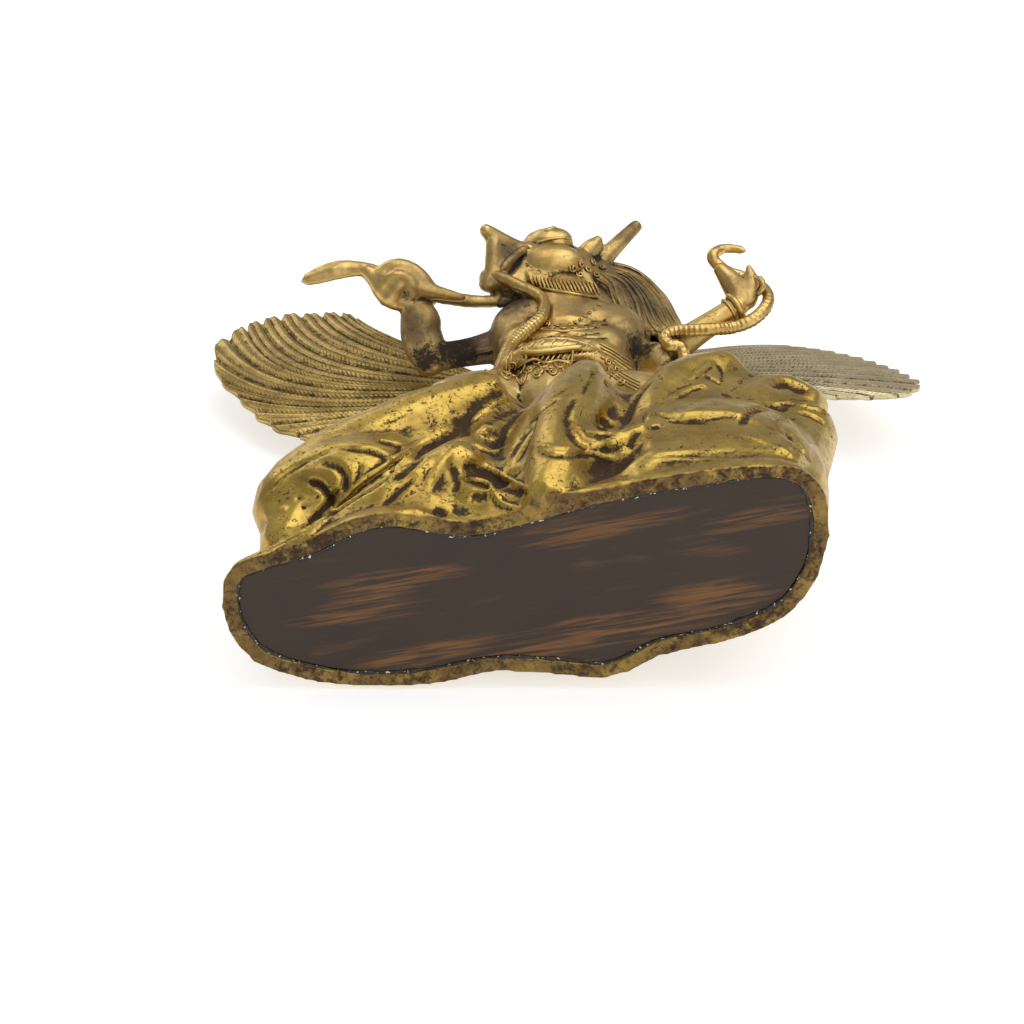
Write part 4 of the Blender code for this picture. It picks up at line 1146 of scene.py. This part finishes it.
WINGS = {
    "left_wing": {
        "hub": ((-8, 214), (-10, 232)),
        "tips": ((-70, 194), (-86, 191), (-99, 194), (-110, 200), (-118, 207), (-126, 219), (-132, 228),
                 (-139, 238), (-142, 248), (-143.5, 261), (-142, 268), (-133, 279), (-127, 284), (-119, 288),
                 (-110, 291), (-100, 291.5), (-91, 292), (-82, 291), (-74, 283)),
        "bow": (0, 1, 3, 8, 15, 23, 28, 30, 20, 10, 4),
        "count": ((0, 0), (0.21, 2.5), (0.34, 4.5), (0.50, 6.5), (0.602, 7.5), (0.673, 8.5), (0.712, 9.5),
                  (0.757, 10.5), (0.804, 11.5), (0.854, 12.5), (0.899, 13.5), (0.944, 14.6), (1, 16)),
        "paired": 1.0,
        "plane": (36, 195, -0.168),
        "cup": 3.0,
    },
    "right_wing": {
        "hub": ((40, 214), (40, 232)),
        "tips": ((112, 196), (140, 193), (158, 193), (170, 197), (179, 214), (176, 230), (171, 243),
                 (163, 258), (153, 272), (141, 283), (127, 291), (108, 284)),
        "bow": (0, 1, 2, 0, -3, -5, -6, -6, -4),
        "count": ((0, 0), (0.25, 3.3), (0.5, 7.6), (0.75, 12.8), (1, 19)),
        "paired": 0.0,
        "plane": (16, 195, 0.216),
        "cup": 3.0,
    },
}
WING_COLUMNS = 208
WING_ROWS = 150


def make_wing(name):
    """One casting of overlapping feathers: a fine grid bent to the wing, ribbed, barbed and closed behind."""
    spec = WINGS[name]
    pick_none()
    bpy.ops.mesh.primitive_grid_add(x_subdivisions=WING_COLUMNS, y_subdivisions=WING_ROWS, size=1.0)
    ob = bpy.context.object
    flat = coords(ob)
    v = flat[:, 0] + 0.5
    t = flat[:, 1] + 0.5
    lines = 3 * len(spec["tips"]) - 2
    y0, z0, lean = spec["plane"]
    (ax, az), (bx, bz) = spec["hub"]
    tips = spline([(x, z, 0) for x, z in spec["tips"]], lines)
    tip_x = np.interp(v, np.linspace(0, 1, lines), tips[:, 0])
    tip_z = np.interp(v, np.linspace(0, 1, lines), tips[:, 1])
    root_x = ax + (bx - ax) * v
    root_z = az + (bz - az) * v
    chord = np.stack((tip_x - root_x, tip_z - root_z), axis=1)
    length = np.linalg.norm(chord, axis=1)
    side = -1 if tips[0][0] < 0 else 1
    normal = np.stack((chord[:, 1], -chord[:, 0]), axis=1) / length[:, None] * side
    bow = np.interp(v, np.linspace(0, 1, len(spec["bow"])), spec["bow"])
    # The feathers get narrower towards the upper edge.
    number = np.interp(v, *zip(*spec["count"]))
    u = number % 1.0
    u[v > 1 - 1e-6] = 1.0
    feather = np.floor(np.minimum(number, spec["count"][-1][1] - 1e-6))
    odd = np.abs(2 * u - 1)
    reach = 1.0 - FEATHER_TIP / length * np.clip((odd - 0.1) / 0.9, 0, 1) ** 2.4
    t = t * reach
    # Feathers bow most just beyond the middle of their length.
    bow = bow * (0.6 * 6.75 * t * t * (1 - t) + 0.4 * 4 * t * (1 - t))
    x = root_x + chord[:, 0] * t + normal[:, 0] * bow
    z = root_z + chord[:, 1] * t + normal[:, 1] * bow
    y = y0 + (z - z0) * lean + spec["cup"] * (2 * t - 1) ** 2
    blend = np.minimum(1.0, t * 3.0)
    y = 30 * (1 - blend) + y * blend
    grow = np.minimum(1.0, 0.3 + t)
    along = t * length
    # Feather profile: a valley, a raised edge over the next feather, and a narrow shaft in the middle,
    # or two narrow ridges where the feathers lie in pairs.
    paired = spec["paired"]
    rib = 1.15 * grow * (np.sin(np.pi * np.clip(u, 0, 1)) ** 0.5 - 0.6)
    rib += 0.7 * grow * (0.5 - u)
    rib += (1 - paired) * 0.55 * grow * np.exp(-((u - 0.5) / 0.09) ** 2)
    rib += paired * grow * (0.6 * np.exp(-((u - 0.2) / 0.11) ** 2) + 0.6 * np.exp(-((u - 0.72) / 0.11) ** 2)
                            - 0.5 * np.exp(-((u - 0.47) / 0.10) ** 2))
    rib += 0.14 * np.sin(feather * 2.4 + 1.0) * grow
    inner = np.clip((0.80 - t) / 0.12, 0, 1) * np.clip((t - 0.12) / 0.1, 0, 1)
    outer = 0.3 * np.clip((t - 0.66) / 0.1, 0, 1)
    half = WING_THICKNESS * (0.9 - 0.5 * t) * 0.92
    front = np.stack((x + SHIFT.x, y - half - rib * 0.8 + SHIFT.y, z + SHIFT.z), axis=1) * MM
    put_coords(ob, front)
    # Back wall: the same outline, ribbed less deeply, then the rim between the two is closed.
    finish_with(ob, "SOLIDIFY", thickness=0.8 * MM, offset=0.0)
    co = coords(ob)
    half_count = len(flat)
    first = co[:half_count, 1].mean() < co[half_count:2 * half_count, 1].mean()
    order = slice(half_count, 2 * half_count) if first else slice(0, half_count)
    other = slice(0, half_count) if first else slice(half_count, 2 * half_count)
    co[order] = np.stack((x + SHIFT.x, y + half - 0.55 * rib + SHIFT.y, z + SHIFT.z), axis=1) * MM
    co[other] = front
    put_coords(ob, co)
    gap = np.maximum(0.5 * (odd > 0.86), paired * 0.22 * (np.abs(u - 0.47) < 0.07))
    mark(ob, stain=np.concatenate((gap, gap)), film=0.0)
    for key, value in (("feather", number), ("barb_along", along / BARB_PITCH),
                       ("barb_share", inner + outer)):
        put_values(ob, key, np.concatenate((value, value)))
    outward(ob, 0.002)
    ob.name = name + "_casting"
    ob.data.name = ob.name
    keep_wear(ob, 2, 16)
    return ob


# Snake.

SNAKE_PATH = (
    (-100, -17, 240), (-95, -19, 240), (-85, -22, 241), (-76, -23, 241), (-67, -22, 240), (-55, -16, 239),
    (-42, -12, 238), (-27, -7.5, 241), (-17, -6, 243), (-11.5, -6, 245), (-12.5, -8, 250), (-16, -11.5, 253),
    (-15.5, -15, 251.5), (-9.5, -15.4, 248.2), (-3, -13.6, 244.6), (4, -11.8, 241), (9.2, -10.2, 234),
    (8, -9.8, 217.5),
    (1, -7.8, 207), (-5, -6.5, 196), (-7.5, -6.2, 186), (-9.5, -6.5, 174), (-11, -8, 162), (-14, -11, 152),
    (-19, -10, 138), (-25, 4, 126), (-26, 30, 124), (-4, 46, 134), (26, 46, 154), (56, 32, 178),
    (70, 16, 194), (70.5, 1.2, 205.5), (64.5, -1.2, 207), (63, -3, 211), (68, -5, 212.5), (82, -6.9, 210.5),
    (93, -5.2, 216.5),
    (101.5, -7.8, 218), (108, -11.3, 223.5), (110, -13.7, 232.5), (106, -15.5, 241), (98.9, -18, 243.2),
    (92.6, -20, 244.2), (87.3, -23, 247.5), (86, -26, 249.7), (90.7, -27, 254.3), (96.2, -27, 254.3),
    (101, -27, 251.9),
)
SNAKE_RINGS = 900
SNAKE_SIDES = 24


def make_snake():
    """A grid wound round the snake's path: leaf-shaped head, smooth neck, scales and pointed tail."""
    last = len(SNAKE_PATH) - 1
    path = []
    for i, p in enumerate(SNAKE_PATH):
        share = {0: 0.5, 1: 1.15, 2: 1.5, 3: 1.25, 4: 1.05, 5: 1.05, 6: 1.1, 7: 1.0}.get(i, 0.92)
        flat = {0: 0.6, 1: 0.5, 2: 0.5, 3: 0.62, 4: 0.9}.get(i, 1.0)
        # Scales show where the value is 1: on the chest and below, and round the right arm.
        scaly = 1.0 if 17 <= i <= 38 else 0.0
        if i > last - 3:
            share = 0.86 - 0.1 * (i - last + 3)
        path.append((*p, share, flat, scaly))
    pick_none()
    bpy.ops.mesh.primitive_grid_add(x_subdivisions=SNAKE_RINGS, y_subdivisions=SNAKE_SIDES, size=1.0)
    ob = bpy.context.object
    flat_co = coords(ob)
    ring = np.rint((flat_co[:, 0] + 0.5) * SNAKE_RINGS).astype(int)
    turn = (flat_co[:, 1] + 0.5) * 2 * np.pi
    line = spline(path, SNAKE_RINGS + 1)
    centre = line[:, :3]
    ahead = np.gradient(centre, axis=0)
    ahead /= np.linalg.norm(ahead, axis=1)[:, None]
    # The frame of the sweep turns as little as it can.
    hint = np.array((0.0, -0.75, -0.66))
    thin = []
    for step in ahead:
        hint = hint - step * (hint @ step)
        hint /= np.linalg.norm(hint)
        thin.append(hint.copy())
    thin = np.array(thin)
    wide = np.cross(ahead, thin)
    along = np.concatenate(([0.0], np.cumsum(np.linalg.norm(np.diff(centre, axis=0), axis=1))))
    radius = SNAKE_RADIUS * line[:, 3]
    for gap, length in ((along, 2.5), (along[-1] - along, 3.0)):
        radius = radius * np.sqrt(np.clip(gap / length, 0.0001, 1))
    # Swelling where the jaw of the garuda holds the snake.
    grip = np.linalg.norm(centre - np.array((-15.5, -13.5, 252.0)), axis=1)
    radius += 0.8 * np.exp(-(grip / 4.0) ** 2)
    r = radius[ring]
    s = along[ring]
    scale = np.sin(np.pi * s / SCALE_PITCH + 4 * turn) * np.sin(np.pi * s / SCALE_PITCH - 4 * turn)
    relief = 0.30 * line[ring, 5] * np.sign(scale) * np.abs(scale) ** 0.5
    relief += 0.10 * np.sin(s * 0.9) * np.sin(turn * 2 + s * 0.35)
    r = np.maximum(r + relief * np.clip(r / 2.0, 0, 1), 0.004)
    out = centre[ring] + wide[ring] * (np.cos(turn) * r)[:, None]
    out += thin[ring] * (np.sin(turn) * r * line[ring, 4])[:, None]
    # Keel along the middle of the head.
    head = np.clip((22 - s) / 6, 0, 1) * np.clip(s / 5, 0, 1)
    keel = head * np.clip(1 - np.abs(np.cos(turn)) * 2.2, 0, 1) * 0.8
    out += thin[ring] * (np.sign(np.sin(turn)) * keel)[:, None]
    put_coords(ob, (out + np.array(SHIFT)) * MM)
    outward(ob, 0.012)
    ob.name = "snake_casting"
    ob.data.name = ob.name
    spots = coords(ob)
    mark(ob, film=near_to(spots, (((-13, -8, 250), 16, 0.7), ((0, -11, 246), 12, 0.5),
                                  ((-30, -8, 240), 20, 0.5), ((-60, -16, 239), 12, 0.4))),
         stain=near_to(spots, (((-22, 20, 126), 30, 0.4), ((62, 0, 214), 8, 0.4),
                               ((-16, -9, 146), 12, 0.5))))
    keep_wear(ob, 2, 8)
    return ob


# Board and resin.

def make_board():
    outline = inset(closed_outline(RIM_OUTLINE, 144), RIM_WIDTH + BOARD_GAP)
    ob = prism("stained_board", outline, BOARD_RECESS, BOARD_RECESS + BOARD_THICKNESS)
    finish_with(ob, "BEVEL", width=0.5 * MM, segments=2, limit_method="ANGLE", angle_limit=math.radians(50))
    ob.data.name = ob.name
    return ob


def make_resin():
    """Bead of resin between the board and the rim, run unevenly by hand."""
    outline = inset(closed_outline(RIM_OUTLINE, 300), RIM_WIDTH + 0.1)
    line = []
    for i, (x, y) in enumerate(outline):
        wobble = 0.35 * math.sin(i * 0.61) + 0.3 * math.sin(i * 0.223 + 1) + 0.3 * math.sin(i * 1.31 + 2)
        push = 0.35 * math.sin(i * 0.17 + 3)
        dx, dy = x - outline[i - 1][0], y - outline[i - 1][1]
        size = math.hypot(dx, dy) or 1.0
        line.append((x - dy / size * push, y + dx / size * push, BOARD_RECESS + 0.1,
                     max(0.3, 0.75 + 0.6 * wobble)))
    line.append(line[0])
    ob = rods("resin_bead", [line], 10, rounded=False)
    outward(ob)
    ob.data.name = ob.name
    return ob


# Finishes.

def linear(code):
    """Linear colour of an sRGB hex value."""
    out = []
    for i in (1, 3, 5):
        v = int(code[i:i + 2], 16) / 255.0
        out.append(v / 12.92 if v <= 0.04045 else ((v + 0.055) / 1.055) ** 2.4)
    return (*out, 1.0)


def new_finish(name):
    mat = bpy.data.materials.new(name)
    mat.use_nodes = True
    tree = mat.node_tree
    tree.nodes.clear()
    return mat, tree


# The output that is used of each kind of node, where it isn't the first.
KEPT_OUTPUT = {"TexCoord": "Object", "Attribute": "Fac", "TexNoise": "Fac", "TexGradient": "Fac",
               "AmbientOcclusion": "AO", "Mix": 2, "NewGeometry": "Backfacing", "LightPath": "Is Camera Ray"}


def add(tree, kind, wires=None, **settings):
    """Adds one node and gives its output: settings are its own fields, wires are values or outputs."""
    node = tree.nodes.new("ShaderNode" + kind)
    for key, value in settings.items():
        setattr(node, key, value)
    for key, value in (wires or {}).items():
        if isinstance(value, bpy.types.NodeSocket):
            tree.links.new(value, node.inputs[key])
        else:
            node.inputs[key].default_value = value
    return node.outputs[KEPT_OUTPUT.get(kind, 0)] if node.outputs else None


def feather_barbs(tree):
    """Grooves between the barbs of a feather: slanted to both sides of its shaft, 0 to 1."""
    feather, along, share = [add(tree, "Attribute", attribute_name=key)
                             for key in ("feather", "barb_along", "barb_share")]
    across = add(tree, "Math", {0: feather}, operation="FRACT")
    from_shaft = add(tree, "Math", {0: across, 1: 0.5}, operation="SUBTRACT")
    from_shaft = add(tree, "Math", {0: from_shaft}, operation="ABSOLUTE")
    slanted = add(tree, "Math", {0: from_shaft, 1: 2.4, 2: along}, operation="MULTIPLY_ADD")
    wave = add(tree, "Math", {0: slanted, 1: 0.5}, operation="PINGPONG")
    groove = add(tree, "MapRange", {"Value": wave, "From Min": 0.26, "From Max": 0.10})
    beside = add(tree, "MapRange", {"Value": from_shaft, "From Min": 0.09, "From Max": 0.15})
    groove = add(tree, "Math", {0: groove, 1: beside}, operation="MULTIPLY")
    return add(tree, "Math", {0: groove, 1: share}, operation="MULTIPLY")


def gilt_bronze(name, gold, deep, brown, dirt_and_shade_tone, shine, specks, patina, grain, barbs=0.0):
    """Lost-wax cast bronze, fire gilt: bright where hands polish it, brown where the gold has worn
    through, granular dark casting skin in the hollows, and painted shade where nearby surfaces close it in."""
    mat, tree = new_finish(name)
    place = add(tree, "TexCoord")
    hollow, nooks, stain, film_kept = [add(tree, "Attribute", attribute_name=key)
                                       for key in ("broad_hollow", "fine_hollow", "stain", "film")]
    # Clouds of thinner gold 14 mm across, streaks of 4 mm, specks of 1.2 mm in groups, sand grain of
    # 0.7 mm and shallow dents of 4 mm.
    clouds, mottle, spots, groups, sand, dent = [
        add(tree, "TexNoise", {"Vector": place, "Scale": scale, "Detail": detail,
                               "Roughness": rough, "Distortion": bent})
        for scale, detail, rough, bent in (
            (70.0, 7.0, 0.62, 0.0), (240.0, 5.0, 0.65, 0.6), (620.0, 4.0, 0.6, 0.8),
            (110.0, 3.0, 0.5, 0.0), (1300.0, 3.0, 0.7, 0.0), (260.0, 2.0, 0.5, 0.0))]
    open_sky = add(tree, "AmbientOcclusion", {"Distance": 0.006}, samples=6, only_local=True)
    # Dark casting skin in the hollows and stains, plus painted shade where ambient occlusion finds the
    # surface closed in; all of it breaks up along the noise.
    low = add(tree, "MapRange", {"Value": hollow, "From Min": 0.53, "From Max": 0.9, "To Max": 0.9})
    # Painted shade: places that the ambient occlusion finds closed in get the dark colour, as if shaded.
    painted_occlusion_shade = add(tree, "MapRange", {"Value": open_sky, "From Min": 0.66, "From Max": 0.15, "To Max": 0.9})
    nook = add(tree, "MapRange", {"Value": nooks, "From Min": 0.66, "From Max": 1.0, "To Max": 0.8})
    crevice = add(tree, "Math", {0: low, 1: painted_occlusion_shade}, operation="MAXIMUM")
    crevice = add(tree, "Math", {0: crevice, 1: nook}, operation="MAXIMUM")
    stain_and_painted_shade = add(tree, "Math", {0: crevice, 1: stain}, operation="MAXIMUM")
    if barbs:
        grooves = feather_barbs(tree)
        in_grooves = add(tree, "Math", {0: grooves, 1: barbs}, operation="MULTIPLY")
        stain_and_painted_shade = add(tree, "Math", {0: stain_and_painted_shade, 1: in_grooves}, operation="MAXIMUM")
    ragged = add(tree, "Math", {0: mottle, 1: 1.3, 2: -1.3}, operation="MULTIPLY_ADD")
    ragged = add(tree, "Math", {0: spots, 1: 1.3, 2: ragged}, operation="MULTIPLY_ADD")
    soil_and_painted_shade = add(tree, "Math", {0: stain_and_painted_shade, 1: ragged}, operation="ADD")
    dirt_and_painted_shade = add(tree, "MapRange", {"Value": soil_and_painted_shade, "From Min": 0.24, "From Max": 0.80, "To Max": 0.95},
                interpolation_type="SMOOTHSTEP")
    # Specks where the gilding was missed.
    flock = add(tree, "MapRange", {"Value": groups, "From Min": 0.42, "From Max": 0.62, "To Max": specks})
    speck = add(tree, "MapRange", {"Value": spots, "From Min": 0.565, "From Max": 0.64})
    speck = add(tree, "Math", {0: flock, 1: speck}, operation="MULTIPLY")
    dirt_and_painted_shade = add(tree, "Math", {0: dirt_and_painted_shade, 1: speck}, operation="MAXIMUM", use_clamp=True)
    # Thin brown film over the clouds and where the casting keeps it, rubbed off the ridges.
    cloud = add(tree, "MapRange", {"Value": clouds, "From Min": 0.34, "From Max": 0.68})
    film = add(tree, "Math", {0: cloud, 1: 0.7}, operation="MULTIPLY")
    film = add(tree, "Math", {0: mottle, 1: 0.6, 2: film}, operation="MULTIPLY_ADD")
    film = add(tree, "Math", {0: film, 1: patina}, operation="MULTIPLY")
    ridge = add(tree, "MapRange", {"Value": hollow, "From Min": 0.46, "From Max": 0.15})
    film = add(tree, "Math", {0: film, 1: ridge}, operation="SUBTRACT", use_clamp=True)
    kept = add(tree, "Math", {0: mottle, 1: 0.5}, operation="SUBTRACT")
    kept = add(tree, "Math", {0: kept, 1: 0.9, 2: film_kept}, operation="MULTIPLY_ADD")
    here = add(tree, "MapRange", {"Value": film_kept, "From Max": 0.1})
    kept = add(tree, "Math", {0: kept, 1: here}, operation="MULTIPLY")
    film = add(tree, "Math", {0: film, 1: kept}, operation="MAXIMUM", use_clamp=True)
    tone = linear(gold)
    # The dark colour stands for dirt and casting skin, and for painted shade in closed-in places.
    for share, colour in ((cloud, deep), (film, brown), (dirt_and_painted_shade, dirt_and_shade_tone)):
        tone = add(tree, "Mix", {0: share, 6: tone, 7: linear(colour)}, data_type="RGBA")
    polish = add(tree, "MapRange", {"Value": mottle, "From Min": 0.3, "From Max": 0.7,
                                    "To Min": shine[0], "To Max": shine[1]})
    dull = add(tree, "MapRange", {"Value": dirt_and_painted_shade, "To Max": 0.35})
    rough = add(tree, "Math", {0: polish, 1: dull}, operation="ADD")
    rough = add(tree, "Math", {0: film, 1: 0.2, 2: rough}, operation="MULTIPLY_ADD", use_clamp=True)
    bare = add(tree, "MapRange", {"Value": dirt_and_painted_shade, "To Min": 1.0, "To Max": 0.6})
    clean = add(tree, "MapRange", {"Value": film, "To Min": 1.0, "To Max": 0.75})
    metal = add(tree, "Math", {0: bare, 1: clean}, operation="MULTIPLY")
    normal = add(tree, "Bump", {"Strength": 0.35, "Distance": grain * MM, "Height": dent})
    if barbs:
        normal = add(tree, "Bump", {"Strength": 0.8, "Distance": 0.0005, "Height": grooves,
                                    "Normal": normal}, invert=True)
    coarse = add(tree, "Math", {0: sand, 1: dirt_and_painted_shade}, operation="MULTIPLY")
    normal = add(tree, "Bump", {"Strength": 0.9, "Distance": 0.0007, "Height": coarse, "Normal": normal})
    shader = add(tree, "BsdfPrincipled", {"Base Color": tone, "Metallic": metal, "Roughness": rough,
                                          "Normal": normal})
    add(tree, "OutputMaterial", {"Surface": shader})
    return mat


# Places on the board where the stain is rubbed thin, in mm: centre, half length and half width.
RUBBED = ((-50, 4, 40, 9), (-62, 16, 34, 7), (36, 24, 54, 12), (70, 10, 34, 10), (-42, 36, 40, 6),
          (22, -18, 44, 7), (88, -24, 26, 6), (0, 36, 34, 6))


def stained_softwood():
    """Sawn softwood with a dark stain: long grain, orange-brown where the stain is rubbed thin."""
    mat, tree = new_finish("sawn_softwood_dark_stain")
    place = add(tree, "TexCoord")
    turn = math.radians(GRAIN_TURN)
    # The grain rises along the board and is twenty times as long as it is wide.
    turned = add(tree, "Mapping", {"Vector": place, "Rotation": (0.0, 0.0, turn)})
    stretch = add(tree, "Mapping", {"Vector": turned, "Scale": (0.05, 1.0, 1.0)})
    grain = add(tree, "TexNoise", {"Vector": stretch, "Scale": 620.0, "Detail": 5.0, "Roughness": 0.6,
                                   "Distortion": 0.3})
    wide = add(tree, "Mapping", {"Vector": turned, "Scale": (0.2, 1.0, 1.0)})
    brushed = add(tree, "TexNoise", {"Vector": wide, "Scale": 130.0, "Detail": 4.0, "Roughness": 0.55})
    clouds = add(tree, "TexNoise", {"Vector": place, "Scale": 30.0, "Detail": 5.0})
    fields = None
    for x, y, long, short in RUBBED:
        spot = add(tree, "Mapping", {"Vector": place, "Location": at(x, y, BOARD_RECESS),
                                     "Rotation": (0.0, 0.0, -turn), "Scale": (long * MM, short * MM, 1.0)},
                   vector_type="TEXTURE")
        field = add(tree, "TexGradient", {"Vector": spot}, gradient_type="SPHERICAL")
        fields = field if fields is None else add(tree, "Math", {0: fields, 1: field}, operation="MAXIMUM")
    ragged = add(tree, "Math", {0: brushed, 1: 1.6, 2: -0.98}, operation="MULTIPLY_ADD")
    patch = add(tree, "Math", {0: fields, 1: ragged}, operation="ADD")
    patch = add(tree, "MapRange", {"Value": patch, "From Min": -0.05, "From Max": 0.45})
    streak = add(tree, "MapRange", {"Value": grain, "From Min": 0.43, "From Max": 0.60})
    show = add(tree, "Math", {0: streak, 1: patch}, operation="MULTIPLY")
    tone = add(tree, "Mix", {0: clouds, 6: linear("#291B10"), 7: linear("#3A2817")}, data_type="RGBA")
    tone = add(tree, "Mix", {0: show, 6: tone, 7: linear("#70491F")}, data_type="RGBA")
    bump = add(tree, "Bump", {"Strength": 0.5, "Distance": 0.0003, "Height": grain})
    shader = add(tree, "BsdfPrincipled", {"Base Color": tone, "Roughness": 0.55, "IOR": 1.45, "Normal": bump})
    add(tree, "OutputMaterial", {"Surface": shader})
    return mat


def black_resin():
    """Poured pitch resin: near black and glossy, with white specks of dust on it."""
    mat, tree = new_finish("poured_pitch_resin")
    place = add(tree, "TexCoord")
    dust = add(tree, "TexNoise", {"Vector": place, "Scale": 700.0, "Detail": 2.0})
    lumps = add(tree, "TexNoise", {"Vector": place, "Scale": 320.0, "Detail": 3.0})
    dots = add(tree, "MapRange", {"Value": dust, "From Min": 0.63, "From Max": 0.68})
    tone = add(tree, "Mix", {0: dots, 6: linear("#1E1712"), 7: linear("#D8D0C4")}, data_type="RGBA")
    bump = add(tree, "Bump", {"Strength": 0.8, "Distance": 0.0008, "Height": lumps})
    shader = add(tree, "BsdfPrincipled", {"Base Color": tone, "Roughness": 0.25, "IOR": 1.5, "Normal": bump})
    add(tree, "OutputMaterial", {"Surface": shader})
    return mat


def dress(ob, mat, node=None, smooth=True):
    ob.data.materials.clear()
    ob.data.materials.append(mat)
    ob.data.polygons.foreach_set("use_smooth", [smooth] * len(ob.data.polygons))
    ob.data.update()
    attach(ob, "root")
    if node:
        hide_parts(node)


# Stage, light and camera.

FLOOR_Y = CAD_BOX[1][1] + 0.0006
FLOOR_SIZE = 6.0


def make_floor():
    """Pale floor that the statue lies on with its back; it shows from its front side only."""
    pick_none()
    bpy.ops.mesh.primitive_plane_add(size=FLOOR_SIZE, location=(0.0, FLOOR_Y, 0.3),
                                     rotation=(math.radians(90.0), 0.0, 0.0))
    ob = bpy.context.object
    ob.name = "pale_floor"
    mat, tree = new_finish("matt_white_floor")
    away = add(tree, "NewGeometry")
    paint = add(tree, "BsdfDiffuse", {"Color": (0.60, 0.60, 0.60, 1.0)})
    glow = add(tree, "Emission", {"Color": (1.0, 1.0, 1.0, 1.0), "Strength": 0.62})
    front = add(tree, "AddShader", {0: paint, 1: glow})
    clear = add(tree, "BsdfTransparent")
    mix = add(tree, "MixShader", {0: away, 1: front, 2: clear})
    add(tree, "OutputMaterial", {"Surface": mix})
    ob.data.materials.append(mat)
    ob.visible_shadow = False
    return ob


def lamp(name, place, target, size, watts, colour=(1.0, 1.0, 1.0)):
    pick_none()
    bpy.ops.object.light_add(type="AREA", location=place)
    ob = bpy.context.object
    ob.name = name
    ob.data.shape = "RECTANGLE"
    ob.data.size, ob.data.size_y = size
    ob.data.energy = watts
    ob.data.color = colour
    ob.rotation_euler = (Vector(target) - Vector(place)).to_track_quat("-Z", "Y").to_euler()


def make_light():
    middle = (0.0, 0.0, 0.15)
    lamp("softbox_above", (0.4, -1.5, 0.25), middle, (2.0, 1.6), 15.5)
    lamp("softbox_far", (-0.7, -0.7, 1.2), middle, (0.8, 0.8), 2.4)
    lamp("softbox_camera", (0.6, -0.7, -1.0), middle, (1.8, 1.8), 7.5)
    lamp("softbox_behind", (0.4, 1.2, 0.7), middle, (1.0, 1.0), 5.0)
    world = bpy.data.worlds.new("studio")
    bpy.context.scene.world = world
    world.use_nodes = True
    # The paper behind is white in the picture and lights the piece less than it shows.
    tree = world.node_tree
    tree.nodes.clear()
    seen = add(tree, "LightPath")
    strength = add(tree, "MapRange", {"Value": seen, "To Min": 0.38, "To Max": 1.0})
    sky = add(tree, "Background", {"Color": (1.0, 1.0, 1.0, 1.0), "Strength": strength})
    add(tree, "OutputWorld", {"Surface": sky})


def make_camera():
    pick_none()
    bpy.ops.object.camera_add(location=at(*CAMERA_AT))
    ob = bpy.context.object
    ob.name = "picture_camera"
    ob.data.sensor_width = SENSOR_WIDTH
    ob.data.lens = LENS_PIXELS * SENSOR_WIDTH / PICTURE
    ob.data.clip_start = 0.01
    ob.data.clip_end = 30.0
    ob.data.dof.use_dof = False
    turn = Matrix((VIEW_RIGHT, VIEW_UP, -VIEW_ALONG)).transposed()
    ob.rotation_euler = turn.to_euler()
    bpy.context.scene.camera = ob


# Assembly.

# Polished fire gilding on the rocks, worn through to brown bronze in specks and hollows, with painted shade
# in closed-in nooks.
ROCK_FINISH = gilt_bronze("fire_gilt_cast_bronze_polished", "#CDAE58", "#AA8A42", "#6E5632", "#453226",
                          (0.26, 0.42), 0.95, 0.4, 0.5)
# The figure was handled less, so a grey-brown film dulls its gold.
FIGURE_FINISH = gilt_bronze("fire_gilt_cast_bronze_handled", "#DEC07A", "#BC9856", "#5C4C3B", "#33271E",
                            (0.27, 0.42), 0.25, 0.35, 0.35)
# The wings are thin castings with a dull film over most of the gold, the right one paler.
WING_FINISHES = {
    "left_wing": gilt_bronze("fire_gilt_cast_bronze_dulled", "#D0B26A", "#A2874E", "#6C5836", "#43351F",
                             (0.28, 0.42), 0.3, 0.5, 0.3, barbs=0.55),
    "right_wing": gilt_bronze("fire_gilt_cast_bronze_pale", "#DCCDA4", "#C4B48E", "#978769", "#40342A",
                              (0.34, 0.48), 0.3, 0.5, 0.3, barbs=0.6),
}

dress(make_rocks(), ROCK_FINISH, "rock_base")
dress(make_figure(), FIGURE_FINISH, "garuda_figure")
for wing_name in WINGS:
    dress(make_wing(wing_name), WING_FINISHES[wing_name], wing_name)
dress(make_snake(), FIGURE_FINISH, "snake")
dress(make_board(), stained_softwood(), "base_board", smooth=False)
dress(make_resin(), black_resin())

make_floor()
make_light()
make_camera()
bpy.context.scene.view_settings.view_transform = "Standard"
